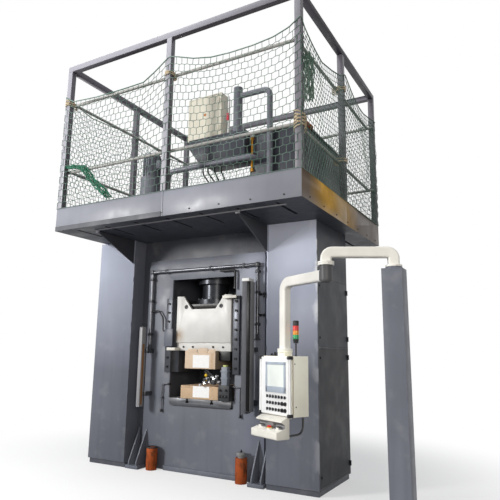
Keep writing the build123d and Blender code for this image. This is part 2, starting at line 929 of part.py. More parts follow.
def oil_pipes():
    """The two bent drain rods, the branch off the loop and the feed pipe of the left gib."""
    solids = []
    for side in (-1, 1):
        drain = [
            (side * drain_inner, thin_axis_y, drain_level),
            (side * drain_outer, thin_axis_y, drain_level),
            (side * drain_outer, thin_axis_y, drain_bottom),
        ]
        solids.append(bent_pipe(thin_pipe_radius, drain, thin_pipe_bend))
    branch = [
        (branch_left, pipe_axis_y, pipe_loop_top - pipe_radius - slide_clearance),
        (branch_left, pipe_axis_y, branch_level),
        (branch_right, pipe_axis_y, branch_level),
        (branch_right, pipe_axis_y, branch_bottom),
    ]
    path = FilletPolyline(*branch, radius=[branch_radius, branch_bend])
    solids.append(sweep(Plane(origin=path @ 0, z_dir=path % 0) * Circle(branch_radius), path=path))
    feed_start = -pipe_loop_half_width + pipe_radius + slide_clearance
    gib_edge = -window_width / 2 + gib_strip_lap - gib_strip_width
    feed_end = gib_edge + gib_strip_width * feed_end_share
    knee = feed_start + (feed_end - feed_start) * feed_knee_share
    feed_y = plate_front - gib_strip_thickness - thin_pipe_radius - slide_clearance
    feed = [
        (feed_start, feed_y, feed_start_height),
        (knee, feed_y, feed_start_height),
        (feed_end, feed_y, feed_end_height),
    ]
    solids.append(bent_pipe(thin_pipe_radius, feed, thin_pipe_bend))
    return Compound(solids)


def light_post(middle, rise, length, bracket_rises, lens_side):
    """A light-curtain post with its lens groove and two brackets to the front plate."""
    half = curtain_width / 2
    bottom = foot_height + rise
    top = bottom + length
    rear = plate_front - curtain_stand
    front = rear - curtain_depth
    post = block((middle - half, middle + half), (front, rear), (bottom, top))
    groove_floor = middle + lens_side * (half - curtain_lens_depth)
    groove_x = sorted((groove_floor, middle + lens_side * (half + overrun)))
    groove_y = ((front + rear - curtain_lens_width) / 2, (front + rear + curtain_lens_width) / 2)
    post -= block(groove_x, groove_y, (bottom + curtain_lens_width, top - curtain_lens_width))
    bracket_x = (middle + curtain_bracket_offset - curtain_bracket_width / 2,
                 middle + curtain_bracket_offset + curtain_bracket_width / 2)
    for bracket_rise in bracket_rises:
        height = bottom + bracket_rise
        bracket_z = (height - curtain_bracket_height / 2, height + curtain_bracket_height / 2)
        post += block(bracket_x, (rear, plate_front), bracket_z)
    return post


def left_light_post():
    """The shorter post, with its lenses towards the right."""
    return light_post(left_curtain_x, left_curtain_rise, left_curtain_length, left_bracket_rises, 1)


def right_light_post():
    """The taller post, with its lenses towards the left."""
    return light_post(right_curtain_x, right_curtain_rise, right_curtain_length, right_bracket_rises, -1)


def rear_guard():
    """The stiffened sheet that closes the throat from behind."""
    half = throat_width / 2 + rear_guard_overlap
    levels = (bed_top - rear_guard_overlap, crown_bottom + rear_guard_overlap)
    face = column_rear + rear_guard_thickness
    sheet = block((-half, half), (column_rear, face), levels)
    pitch = 2 * half / rear_guard_rib_count
    for number in range(rear_guard_rib_count):
        middle = -half + pitch * (number + 1 / 2)
        rib_x = (middle - rear_guard_rib / 2, middle + rear_guard_rib / 2)
        sheet += block(rib_x, (face, face + rear_guard_rib), levels)
    return sheet


platform_x = (-platform_left, platform_right)
platform_y = (-platform_front, platform_rear)


def platform_deck():
    """The platform's welded deck with rows of slots in its underside."""
    t = fascia_thickness
    deck_x = (platform_x[0] + t, platform_x[1] - t)
    deck = block(deck_x, (platform_y[0] + t, platform_y[1] - t), (column_top, deck_top))
    span = deck_x[1] - deck_x[0] - 2 * deck_slot_margin
    pitch = span / deck_slot_count
    slot_z = (column_top - overrun, column_top + deck_slot_depth)
    front_slot = (platform_y[0] + deck_slot_margin, platform_y[0] + deck_slot_margin + deck_slot_length)
    rear_slot = (platform_y[1] - deck_slot_margin - deck_slot_length, platform_y[1] - deck_slot_margin)
    for number in range(deck_slot_count):
        middle = deck_x[0] + deck_slot_margin + pitch * (number + 1 / 2)
        slot_x = (middle - deck_slot_width / 2, middle + deck_slot_width / 2)
        deck -= block(slot_x, front_slot, slot_z)
        deck -= block(slot_x, rear_slot, slot_z)
    return deck


def fascia_panels():
    """The eight sheet panels round the platform's edge, split at the middle posts."""
    t = fascia_thickness
    levels = (column_top, deck_top)
    left_run = (platform_x[0], mid_post_x - fascia_joint / 2)
    right_run = (mid_post_x + fascia_joint / 2, platform_x[1])
    front_run = (platform_y[0] + t, mid_post_y - fascia_joint / 2)
    rear_run = (mid_post_y + fascia_joint / 2, platform_y[1] - t)
    panels = []
    for y in ((platform_y[0], platform_y[0] + t), (platform_y[1] - t, platform_y[1])):
        panels += [block(x, y, levels) for x in (left_run, right_run)]
    for x in ((platform_x[0], platform_x[0] + t), (platform_x[1] - t, platform_x[1])):
        panels += [block(x, y, levels) for y in (front_run, rear_run)]
    return Compound(panels)


def fascia_bolts():
    """The bolt heads along the lower edge of the fascia on all four sides."""
    level = column_top + fascia_bolt_rise
    heads = []
    count_x = max(2, round((platform_x[1] - platform_x[0]) / fascia_bolt_spacing))
    pitch_x = (platform_x[1] - platform_x[0]) / count_x
    count_y = max(2, round((platform_y[1] - platform_y[0]) / fascia_bolt_spacing))
    pitch_y = (platform_y[1] - platform_y[0]) / count_y
    for start in (platform_y[0] - fascia_bolt_height, platform_y[1]):
        for number in range(count_x):
            place = (platform_x[0] + pitch_x * (number + 1 / 2), start, level)
            heads.append(round_bar(fascia_bolt_radius, fascia_bolt_height, place, "Y"))
    for start in (platform_x[0] - fascia_bolt_height, platform_x[1]):
        for number in range(count_y):
            place = (start, platform_y[0] + pitch_y * (number + 1 / 2), level)
            heads.append(round_bar(fascia_bolt_radius, fascia_bolt_height, place, "X"))
    return Compound(heads)


inner_x = (platform_x[0] + post_size, platform_x[1] - post_size)
inner_y = (platform_y[0] + post_size, platform_y[1] - post_size)


def cage_posts():
    """The eight square posts of the cage."""
    levels = (deck_top, cage_top - post_size)
    left_x = (platform_x[0], inner_x[0])
    right_x = (inner_x[1], platform_x[1])
    middle_x = (mid_post_x - post_size / 2, mid_post_x + post_size / 2)
    front_y = (platform_y[0], inner_y[0])
    rear_y = (inner_y[1], platform_y[1])
    middle_y = (mid_post_y - post_size / 2, mid_post_y + post_size / 2)
    posts = [block(x, y, levels) for x in (left_x, middle_x, right_x) for y in (front_y, rear_y)]
    posts += [block(x, middle_y, levels) for x in (left_x, right_x)]
    return Compound(posts)


def cage_top_rails():
    """The square tubes that close the cage at the top."""
    levels = (cage_top - post_size, cage_top)
    rails = [block(platform_x, (platform_y[0], inner_y[0]), levels)]
    rails.append(block(platform_x, (inner_y[1], platform_y[1]), levels))
    rails.append(block((platform_x[0], inner_x[0]), inner_y, levels))
    rails.append(block((inner_x[1], platform_x[1]), inner_y, levels))
    return Compound(rails)


def guard_rails():
    """The round rails inside the posts at two heights on every side."""
    reach = rail_radius + slide_clearance
    pipes = []
    for height in (mid_rail_height, upper_rail_height):
        level = deck_top + height
        for y in (inner_y[0] + reach, inner_y[1] - reach):
            start = (platform_x[0] + rail_end_gap, y, level)
            pipes.append(round_bar(rail_radius, platform_x[1] - platform_x[0] - 2 * rail_end_gap, start, "X"))
        side_start = inner_y[0] + 2 * reach
        for x in (inner_x[0] + reach, inner_x[1] - reach):
            start = (x, side_start, level)
            pipes.append(round_bar(rail_radius, inner_y[1] - 2 * reach - side_start, start, "Y"))
    return Compound(pipes)


def net_sheet(length, middle, ties):
    """A net along +X from the origin: tied at both ends and at a middle post, sagging between."""
    low = -net_hang
    left_sag = (ties[0] + ties[1]) / 2 - net_sag
    right_sag = (ties[1] + ties[2]) / 2 - net_sag
    outline = [
        Line((0, low), (length, low)),
        Line((length, low), (length, ties[2])),
        ThreePointArc((length, ties[2]), ((length + middle) / 2, right_sag), (middle, ties[1])),
        ThreePointArc((middle, ties[1]), (middle / 2, left_sag), (0, ties[0])),
        Line((0, ties[0]), (0, low)),
    ]
    sheet = make_face(outline)
    top = min(left_sag, right_sag, *ties) - net_edge
    cell_x = (length - 2 * net_edge) / net_columns
    cell_z = (top - low - net_edge) / net_rows
    half_x = cell_x * net_hole_share / 2
    half_z = cell_z * net_hole_share / 2
    hole = Polygon((-half_x, 0), (0, -half_z), (half_x, 0), (0, half_z), align=None)
    for column in range(net_columns):
        for row in range(net_rows):
            centre_x = net_edge + cell_x * (column + 1 / 2)
            centre_z = low + net_edge + cell_z * (row + 1 / 2)
            sheet -= Pos(centre_x, centre_z) * hole
    return extrude(Rot(quarter_turn, 0, 0) * sheet, amount=net_thickness)


def front_net():
    """The net on the front of the cage."""
    net = net_sheet(platform_x[1] - platform_x[0], mid_post_x - platform_x[0], net_front_ties)
    return Pos(platform_x[0], platform_y[0], deck_top) * net


def right_net():
    """The net on the right side of the cage."""
    net = net_sheet(platform_y[1] - platform_y[0], mid_post_y - platform_y[0], net_right_ties)
    return Pos(platform_x[1], platform_y[0], deck_top) * Rot(0, 0, quarter_turn) * net


def rear_net():
    """The net on the rear of the cage."""
    net = net_sheet(platform_x[1] - platform_x[0], platform_x[1] - mid_post_x, net_rear_ties)
    return Pos(platform_x[1], platform_y[1], deck_top) * Rot(0, 0, half_turn) * net


def left_net():
    """The net on the left side of the cage."""
    net = net_sheet(platform_y[1] - platform_y[0], platform_y[1] - mid_post_y, net_left_ties)
    return Pos(platform_x[0], platform_y[1], deck_top) * Rot(0, 0, -quarter_turn) * net


def oil_tank():
    """The oil tank with its lid and filler cap."""
    top = deck_top + tank_height
    tank = block((tank_left, tank_right), (tank_front, tank_rear), (deck_top, top))
    tank = fillet(tank.edges().filter_by(Axis.Z), tank_corner)
    over = tank_lid_overhang
    lid_x = (tank_left, tank_right + over)
    tank += block(lid_x, (tank_front - over, tank_rear + over), (top, top + tank_lid_height))
    cap_place = (tank_right - tank_cap_inset, tank_front + tank_cap_inset, top + tank_lid_height)
    return tank + round_bar(tank_cap_radius, tank_cap_height, cap_place)


def valve_manifold():
    """The valve block on the tank's side with its row of solenoid valves."""
    bottom = deck_top + manifold_bottom
    points = [
        (manifold_left, manifold_top),
        (manifold_left, bottom + manifold_slope_height),
        (manifold_left + manifold_slope_width, bottom),
        (tank_left, bottom),
        (tank_left, manifold_top),
    ]
    solid = front_profile(points, manifold_front, manifold_depth)
    pitch = (tank_left - manifold_left) / valve_count
    middle_z = bottom + manifold_height / 2
    rear = manifold_front + manifold_depth
    for number in range(valve_count):
        place = (manifold_left + pitch * (number + 1 / 2), rear, middle_z)
        solid += round_bar(valve_radius, valve_length, place, "Y")
    return solid


def suction_pipe():
    """The suction pipe from the deck along the manifold into the tank's front."""
    level = deck_top + suction_level
    points = [
        (suction_left, suction_front, deck_top),
        (suction_left, suction_front, level),
        (suction_port, suction_front, level),
        (suction_port, tank_front, level),
    ]
    return bent_pipe(suction_radius, points, suction_bend)


def return_pipe():
    """The riser on the valve block and the return pipe that bends over and down to the deck."""
    riser = round_bar(riser_radius, riser_height, (riser_x, riser_y, manifold_top))
    level = manifold_top + riser_height - return_drop
    points = [(riser_x, riser_y, level), (return_x, riser_y, level), (return_x, riser_y, deck_top)]
    pipe = riser + bent_pipe(return_radius, points, return_bend)
    return pipe + round_bar(return_flange_radius, return_flange_height, (return_x, riser_y, deck_top))


def level_gauge():
    """The oil level tube between two blocks on the tank's front."""
    x = tank_left + gauge_inset
    half = gauge_block / 2
    low = deck_top + gauge_bottom
    high = deck_top + gauge_top
    gauge = round_bar(gauge_radius, high - low, (x, tank_front - half, low))
    for level in (low, high - gauge_block):
        depth = (tank_front - gauge_block, tank_front)
        gauge += block((x - half, x + half), depth, (level, level + gauge_block))
    return gauge


def pump_motor():
    """The upright pump motor on its bell housing, with cooling fins and a terminal box."""
    bell = round_bar(bell_radius, bell_height, (motor_x, motor_y, deck_top))
    base = deck_top + bell_height
    motor = round_bar(motor_radius, motor_height, (motor_x, motor_y, base))
    motor = fillet(motor.edges().group_by(Axis.Z)[-1], motor_dome)
    fin_x = (motor_radius - motor_fin_width, motor_radius + motor_fin_height)
    fin_z = (base, base + motor_height - 2 * motor_dome)
    fin = block(fin_x, (-motor_fin_width / 2, motor_fin_width / 2), fin_z)
    for number in range(motor_fin_count):
        motor += Pos(motor_x, motor_y, 0) * Rot(0, 0, number * 2 * half_turn / motor_fin_count) * fin
    box_x = (motor_x + motor_radius - motor_fin_width, motor_x + motor_radius + terminal_depth)
    box_y = (motor_y - terminal_width / 2, motor_y + terminal_width / 2)
    middle = base + motor_height / 2
    return bell + motor + block(box_x, box_y, (middle - terminal_height / 2, middle + terminal_height / 2))


cabinet_limits = (manifold_top + cabinet_door_margin, manifold_top + cabinet_height - cabinet_door_margin)
cabinet_door_width = cabinet_right - cabinet_left - cabinet_door_margin - cabinet_hinge_margin
cabinet_hinge_x = cabinet_right - cabinet_hinge_margin + hinge_edge
cabinet_hinge_y = cabinet_front - hinge_stand
cabinet_hinge = Pos(cabinet_hinge_x, cabinet_hinge_y, 0) * Rot(0, 0, -quarter_turn)


def control_cabinet():
    """The terminal cabinet on the valve block, hollow behind its door."""
    levels = (manifold_top, manifold_top + cabinet_height)
    cabinet = block((cabinet_left, cabinet_right), (cabinet_front, cabinet_front + cabinet_depth), levels)
    cavity_depth = cabinet_depth - cabinet_wall
    recess = door_recess(cabinet_door_width, cabinet_door_thickness, cabinet_limits, cavity_depth)
    cabinet -= cabinet_hinge * recess
    for level in hinge_levels(cabinet_limits, cabinet_hinge_inset):
        cabinet += cabinet_hinge * fixed_hinge(level)
    return cabinet


def cabinet_door():
    """The cabinet's flush door with its turn lock."""
    door = hinged_door(cabinet_door_width, cabinet_door_thickness, cabinet_limits, cabinet_hinge_inset)
    lock_level = (cabinet_limits[0] + cabinet_limits[1]) / 2
    lock_y = -hinge_edge - cabinet_door_width + door_lock_inset
    door += round_bar(cabinet_lock_radius, door_lock_height, (-hinge_stand, lock_y, lock_level), "X")
    return cabinet_hinge * door


def stand_post():
    """The floor stand of the swing arm: base plate, square post and the fixed swivel ring."""
    half_base = stand_base / 2
    base_x = (stand_x - half_base, stand_x + half_base)
    base_y = (stand_y - half_base, stand_y + half_base)
    stand = block(base_x, base_y, (0, stand_base_thickness))
    half = stand_size / 2
    post_z = (stand_base_thickness, stand_height)
    stand += block((stand_x - half, stand_x + half), (stand_y - half, stand_y + half), post_z)
    stand += round_bar(ring_radius, ring_height, (stand_x, stand_y, stand_height))
    stand += round_bar(spigot_radius, spigot_height, (stand_x, stand_y, stand_height + ring_height))
    reach = stand_hole_spacing / 2
    hole_length = stand_base_thickness + 2 * overrun
    for x in (stand_x - reach, stand_x + reach):
        for y in (stand_y - reach, stand_y + reach):
            stand -= round_bar(stand_hole_radius, hole_length, (x, y, -overrun))
    return stand


inner_heading = math.radians(inner_arm_heading)
outer_heading = math.radians(outer_arm_heading)
elbow_x = stand_x + inner_arm_reach * math.cos(inner_heading)
elbow_y = stand_y + inner_arm_reach * math.sin(inner_heading)
pendant_x = elbow_x + outer_arm_reach * math.cos(outer_heading)
pendant_y = elbow_y + outer_arm_reach * math.sin(outer_heading)


def arm_tube(points, bend, heading, pivot):
    """A rounded square tube along an elbowed path, turned to its heading at its pivot."""
    path = FilletPolyline(*points, radius=bend)
    start = Plane(origin=path @ 0, x_dir=(0, 1, 0), z_dir=path % 0)
    section = start * RectangleRounded(arm_width, arm_height, arm_corner)
    return Pos(*pivot, 0) * Rot(0, 0, heading) * sweep(section, path=path)


def spigot_bore(x, y, mouth):
    """The blind bore that turns on a spigot, from its mouth upwards."""
    depth = spigot_height + spigot_radius / 2
    return round_bar(spigot_radius + running_clearance, depth + overrun, (x, y, mouth - overrun))


def swing_arm_inner():
    """The upper arm that turns on the stand, with an elbow down to the middle swivel."""
    ring_bottom = stand_height + ring_height + slide_clearance
    tube_bottom = ring_bottom + ring_height
    end_bottom = inner_arm_level - inner_arm_end_drop
    points = [
        (0, 0, tube_bottom),
        (0, 0, inner_arm_level),
        (inner_arm_reach, 0, inner_arm_level),
        (inner_arm_reach, 0, end_bottom),
    ]
    arm = arm_tube(points, inner_arm_bend, inner_arm_heading, (stand_x, stand_y))
    arm += round_bar(ring_radius, ring_height, (stand_x, stand_y, ring_bottom))
    arm += round_bar(ring_radius, ring_height, (elbow_x, elbow_y, end_bottom - ring_height))
    arm -= spigot_bore(stand_x, stand_y, ring_bottom)
    return arm - spigot_bore(elbow_x, elbow_y, end_bottom - ring_height)


def swing_arm_outer():
    """The lower arm with the drop tube down to the pendant."""
    ring_top = inner_arm_level - inner_arm_end_drop - ring_height - slide_clearance
    points = [
        (0, 0, outer_arm_level),
        (outer_arm_reach, 0, outer_arm_level),
        (outer_arm_reach, 0, drop_tube_bottom),
    ]
    arm = arm_tube(points, outer_arm_bend, outer_arm_heading, (elbow_x, elbow_y))
    cap_bottom = outer_arm_level - elbow_cap_drop
    housing = round_bar(elbow_cap_radius, ring_top - ring_height - cap_bottom, (elbow_x, elbow_y, cap_bottom))
    arm += fillet(housing.edges().group_by(Axis.Z)[0], elbow_cap_round)
    arm += round_bar(ring_radius, ring_height, (elbow_x, elbow_y, ring_top - ring_height))
    arm += round_bar(spigot_radius, spigot_height, (elbow_x, elbow_y, ring_top))
    arm += round_bar(ring_radius, ring_height, (pendant_x, pendant_y, drop_tube_bottom - ring_height))
    return arm - spigot_bore(pendant_x, pendant_y, drop_tube_bottom - ring_height)


pendant_place = Pos(pendant_x, pendant_y, 0) * Rot(0, 0, pendant_yaw)
swivel_top = drop_tube_bottom - ring_height - slide_clearance


def pendant_box():
    """The pendant's housing with its neck and swivel ring under the drop tube."""
    half = pendant_box_width / 2
    box = block((-half, half), (panel_rear, pendant_rear), (pendant_bottom, pendant_top))
    box = fillet(box.edges().filter_by(Axis.Z), pendant_box_corner)
    neck = pendant_neck / 2
    box += block((-neck, neck), (-neck, neck), (pendant_top, swivel_top - ring_height))
    box += round_bar(ring_radius, ring_height, (0, 0, swivel_top - ring_height))
    box += round_bar(spigot_radius, spigot_height, (0, 0, swivel_top))
    return pendant_place * box


def pendant_panel():
    """The front panel with its rows of operating buttons."""
    half = panel_width / 2
    levels = (pendant_bottom + panel_inset, pendant_top - panel_inset)
    panel = block((-half, half), (panel_front, panel_rear), levels)
    first = -pendant_width / 2 + pendant_width * panel_button_left_share
    last = -pendant_width / 2 + pendant_width * panel_button_right_share
    pitch = (last - first) / (panel_button_columns - 1)
    for share in panel_button_row_shares:
        level = pendant_top - pendant_height * share
        for number in range(panel_button_columns):
            place = (first + number * pitch, panel_front - panel_button_height, level)
            panel += round_bar(panel_button_radius, panel_button_height, place, "Y")
    return pendant_place * panel


def pendant_handles():
    """The two grab bars at the panel's sides with their corner pieces."""
    corner_y = (panel_rear - handle_corner_depth, panel_rear)
    bar_y = (corner_y[0] + panel_rear) / 2
    inner = panel_width / 2
    outer = pendant_width / 2
    bar_x = (inner + outer) / 2
    handles = []
    for side in (-1, 1):
        corner_x = sorted((side * inner, side * outer))
        bar = round_bar(handle_bar_radius, pendant_height, (side * bar_x, bar_y, pendant_bottom))
        for low in (pendant_bottom, pendant_top - handle_corner_height):
            bar += block(corner_x, corner_y, (low, low + handle_corner_height))
        handles.append(pendant_place * bar)
    return Compound(handles)


def touch_screen():
    """The operator screen in its raised bezel."""
    left = -pendant_width / 2 + pendant_width * screen_left_share
    right = -pendant_width / 2 + pendant_width * screen_right_share
    top = pendant_top - pendant_height * screen_top_share
    bottom = pendant_top - pendant_height * screen_bottom_share
    front = panel_front - screen_thickness
    bezel = block((left, right), (front, panel_front), (bottom, top))
    glass_x = (left + screen_border, right - screen_border)
    glass_z = (bottom + 2 * screen_border, top - screen_border)
    return pendant_place * (bezel - block(glass_x, (front - overrun, front + screen_recess), glass_z))


def stack_light():
    """The signal light on its pole on top of the pendant."""
    pole = round_bar(beacon_pole_radius, beacon_pole_height, (beacon_x, beacon_y, pendant_top))
    base_level = pendant_top + beacon_pole_height
    light = pole + round_bar(beacon_base_radius, beacon_base_height, (beacon_x, beacon_y, base_level))
    lens_level = base_level + beacon_base_height
    return pendant_place * (light + round_bar(beacon_radius, beacon_height, (beacon_x, beacon_y, lens_level)))


console_bottom = pendant_bottom - console_drop
console_nose_top = console_bottom + console_nose_height
pocket_floor = pendant_bottom - pocket_floor_drop
roof_low = pendant_bottom - roof_tip_drop - roof_edge


def desk_level(y):
    """The height of the console's sloping desk at a depth."""
    slope = (pocket_floor - console_nose_top) / (pocket_back - console_nose)
    return console_nose_top + slope * (y - console_nose)


start_boss_top = desk_level(start_button_y) + start_boss_height
estop_boss_top = desk_level(estop_y) + start_boss_height


def two_hand_console():
    """The two-hand start console: a desk under a roof, with a pocket at each end for its start button."""
    points = [
        (console_neck, pendant_bottom),
        (console_neck, pendant_bottom - console_neck_height),
        (console_rear, pendant_bottom - console_neck_height),
        (console_rear, console_bottom),
        (console_nose + console_chin, console_bottom),
        (console_nose, console_bottom + console_chin),
        (console_nose, console_nose_top),
        (pocket_back, pocket_floor),
        (pocket_back, pendant_bottom - pocket_roof_drop),
        (roof_tip, roof_low),
        (roof_tip, roof_low + roof_edge),
        (panel_front, pendant_bottom),
    ]
    console = side_profile(points, -console_width / 2, console_width)
    middle_x = (-pocket_middle_width / 2, pocket_middle_width / 2)
    console += block(middle_x, (pocket_middle_front, pocket_back), (console_nose_top, roof_low))
    for side in (-1, 1):
        place = (side * start_button_x, start_button_y)
        boss_low = start_boss_top - start_boss_height - overrun
        console += round_bar(start_boss_radius, start_boss_height + overrun, (*place, boss_low))
        bore_floor = start_boss_top - start_button_height
        bore_radius = start_button_radius + running_clearance
        console -= round_bar(bore_radius, start_button_height + overrun, (*place, bore_floor))
    place = (estop_x, estop_y)
    boss_low = estop_boss_top - start_boss_height - overrun
    console += round_bar(estop_boss_radius, start_boss_height + overrun, (*place, boss_low))
    bore_depth = estop_shaft_length + estop_travel
    bore_floor = estop_boss_top - bore_depth
    console -= round_bar(estop_shaft_radius + running_clearance, bore_depth + overrun, (*place, bore_floor))
    return pendant_place * console


def start_button(side):
    """A start button in its pocket."""
    low = start_boss_top - start_button_height + start_button_travel + slide_clearance
    button = round_bar(start_button_radius, start_button_height, (side * start_button_x, start_button_y, low))
    return pendant_place * button


def estop_button():
    """The mushroom-head stop button on the console."""
    head_low = estop_boss_top + estop_travel + slide_clearance
    place = (estop_x, estop_y)
    shaft_low = head_low - estop_shaft_length
    shaft = round_bar(estop_shaft_radius, estop_shaft_length, (*place, shaft_low))
    head = round_bar(estop_head_radius, estop_head_height, (*place, head_low))
    head = fillet(head.edges().group_by(Axis.Z)[-1], estop_head_round)
    return pendant_place * (shaft + head)


def pendant_conduit():
    """The flexible conduit that loops from the pendant's floor to the console's back."""
    points = [Vector(*point) for point in conduit_route]
    tangent_share = 0.45
    radii = []
    for before, corner, after in zip(points, points[1:], points[2:]):
        turn = math.radians((corner - before).get_angle(after - corner))
        shorter = min((corner - before).length, (after - corner).length)
        radii.append(tangent_share * shorter / math.tan(turn / 2))
    print("conduit bend radii", [round(radius) for radius in radii])
    path = FilletPolyline(*points, radius=radii)
    tube = sweep(Plane(origin=path @ 0, z_dir=path % 0) * Circle(conduit_radius), path=path)
    full_volume = math.pi * conduit_radius**2 * path.length
    print("conduit length", round(path.length), "volume ratio", tube.volume / full_volume)
    return pendant_place * tube


nodes = {
    "press_body": press_body(),
    "front_plate": front_plate(),
    "left_column": mirrored(plain_column()),
    "right_column": right_column(),
    "right_lower_door": right_door("right_lower_door"),
    "right_upper_door": right_door("right_upper_door"),
    "left_foot": mirrored(foot()),
    "right_foot": foot(),
    "left_jack_body": left_jack_body(),
    "right_jack_body": right_jack_body(),
    "right_jack_plunger": right_jack_plunger(),
    "main_cylinder": main_cylinder(),
    "piston_rod": piston_rod(),
    "ram": ram(),
    "ram_brackets": ram_brackets(),
    "upper_die_carton": upper_die_carton(),
    "lower_die_carton": lower_die_carton(),
    "left_gib": gib(-1),
    "right_gib": gib(1),
    "gib_bolts": gib_bolts(),
    "bolster": bolster(),
    "die_sprayer": die_sprayer(),
    "pipe_loop": pipe_loop(),
    "pipe_clamps": pipe_clamps(),
    "oil_pipes": oil_pipes(),
    "left_light_post": left_light_post(),
    "right_light_post": right_light_post(),
    "rear_guard": rear_guard(),
    "platform_deck": platform_deck(),
    "fascia_panels": fascia_panels(),
    "fascia_bolts": fascia_bolts(),
    "cage_posts": cage_posts(),
    "cage_top_rails": cage_top_rails(),
    "guard_rails": guard_rails(),
    "front_net": front_net(),
    "right_net": right_net(),
    "rear_net": rear_net(),
    "left_net": left_net(),
    "oil_tank": oil_tank(),
    "valve_manifold": valve_manifold(),
    "suction_pipe": suction_pipe(),
    "return_pipe": return_pipe(),
    "level_gauge": level_gauge(),
    "pump_motor": pump_motor(),
    "control_cabinet": control_cabinet(),
    "cabinet_door": cabinet_door(),
    "stand_post": stand_post(),
    "swing_arm_inner": swing_arm_inner(),
    "swing_arm_outer": swing_arm_outer(),
    "pendant_box": pendant_box(),
    "pendant_panel": pendant_panel(),
    "pendant_handles": pendant_handles(),
    "touch_screen": touch_screen(),
    "stack_light": stack_light(),
    "two_hand_console": two_hand_console(),
    "left_start_button": start_button(-1),
    "right_start_button": start_button(1),
    "estop_button": estop_button(),
    "pendant_conduit": pendant_conduit(),
}

for name, shape in nodes.items():
    export_step(shape, f"parts/{name}.step")
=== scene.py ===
import json
import math

import bmesh
import bpy
from mathutils import Matrix, Vector, noise


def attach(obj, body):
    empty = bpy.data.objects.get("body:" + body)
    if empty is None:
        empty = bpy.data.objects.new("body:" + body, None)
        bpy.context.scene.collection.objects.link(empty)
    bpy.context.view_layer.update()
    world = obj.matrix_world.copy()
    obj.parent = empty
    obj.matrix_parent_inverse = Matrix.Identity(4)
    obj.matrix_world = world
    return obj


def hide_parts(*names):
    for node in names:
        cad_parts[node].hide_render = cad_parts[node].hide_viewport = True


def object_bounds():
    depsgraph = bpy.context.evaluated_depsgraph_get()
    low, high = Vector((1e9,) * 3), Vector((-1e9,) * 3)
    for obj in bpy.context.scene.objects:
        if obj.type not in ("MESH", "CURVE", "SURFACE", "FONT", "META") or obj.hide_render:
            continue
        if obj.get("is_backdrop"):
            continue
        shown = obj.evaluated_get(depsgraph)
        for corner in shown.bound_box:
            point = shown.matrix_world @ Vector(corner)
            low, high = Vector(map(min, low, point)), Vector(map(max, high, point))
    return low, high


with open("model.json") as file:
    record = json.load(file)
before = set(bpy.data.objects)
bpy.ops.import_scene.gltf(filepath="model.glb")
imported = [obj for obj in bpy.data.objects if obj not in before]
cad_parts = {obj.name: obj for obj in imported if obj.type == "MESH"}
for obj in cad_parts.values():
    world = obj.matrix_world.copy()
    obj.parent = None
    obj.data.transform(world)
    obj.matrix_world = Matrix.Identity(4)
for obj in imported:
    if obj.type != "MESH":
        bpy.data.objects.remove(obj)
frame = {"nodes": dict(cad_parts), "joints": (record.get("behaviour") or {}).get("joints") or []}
nodes = frame["nodes"]
scene = bpy.context.scene
cad_low, cad_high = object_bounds()

# Camera at eye height, in front of the machine and to its right.
# Its place and turn come from the straight edges of the columns and the platform.
camera_place = Vector((4.125, -6.368, 1.612))
camera_yaw = math.radians(29.249)
camera_pitch = math.radians(10.998)
camera_roll = math.radians(0.69)
camera_lens = 37.334
sensor_width = 36
sight = Vector((-math.sin(camera_yaw), math.cos(camera_yaw), 0)) * math.cos(camera_pitch)
sight.z = math.sin(camera_pitch)
level_right = Vector((math.cos(camera_yaw), math.sin(camera_yaw), 0))
level_up = level_right.cross(sight)
camera_right = level_right * math.cos(camera_roll) + level_up * math.sin(camera_roll)
camera_up = level_up * math.cos(camera_roll) - level_right * math.sin(camera_roll)
camera_data = bpy.data.cameras.new("camera")
camera_data.lens = camera_lens
camera_data.sensor_width = sensor_width
camera_data.clip_end = 200
camera = bpy.data.objects.new("camera", camera_data)
turn = Matrix((camera_right, camera_up, -sight)).transposed().to_4x4()
camera.matrix_world = Matrix.Translation(camera_place) @ turn
scene.collection.objects.link(camera)
scene.camera = camera
scene.view_settings.view_transform = "Standard"

# Studio: a pale floor that fades to plain white away from the machine, under a white sky.
# The floor shows white, keeps the machine's shadow, and throws little light back up.
floor_reach = 60.0
fade_start, fade_end, fade_least = 2.2, 5.0, 0.45
floor_white = (0.93, 0.93, 0.93, 1)
floor_return = (0.11, 0.115, 0.125, 1)


def sees_backdrop(tree):
    """The light path value that is 1 for camera, glossy and transmission rays."""
    path = tree.nodes.new("ShaderNodeLightPath")
    total = path.outputs["Is Camera Ray"]
    for kind in ("Is Glossy Ray", "Is Transmission Ray"):
        most = tree.nodes.new("ShaderNodeMath")
        most.operation = "MAXIMUM"
        tree.links.new(total, most.inputs[0])
        tree.links.new(path.outputs[kind], most.inputs[1])
        total = most.outputs[0]
    return total


world = bpy.data.worlds.new("studio")
scene.world = world
world.use_nodes = True
sky = world.node_tree
soft_light = sky.nodes["Background"]
soft_light.inputs["Color"].default_value = (0.90, 0.95, 1.0, 1)
soft_light.inputs["Strength"].default_value = 0.34
white_sky = sky.nodes.new("ShaderNodeBackground")
white_sky.inputs["Color"].default_value = (1, 1, 1, 1)
choose = sky.nodes.new("ShaderNodeMixShader")
sky.links.new(sees_backdrop(sky), choose.inputs[0])
sky.links.new(soft_light.outputs[0], choose.inputs[1])
sky.links.new(white_sky.outputs[0], choose.inputs[2])
sky.links.new(choose.outputs[0], sky.nodes["World Output"].inputs[0])

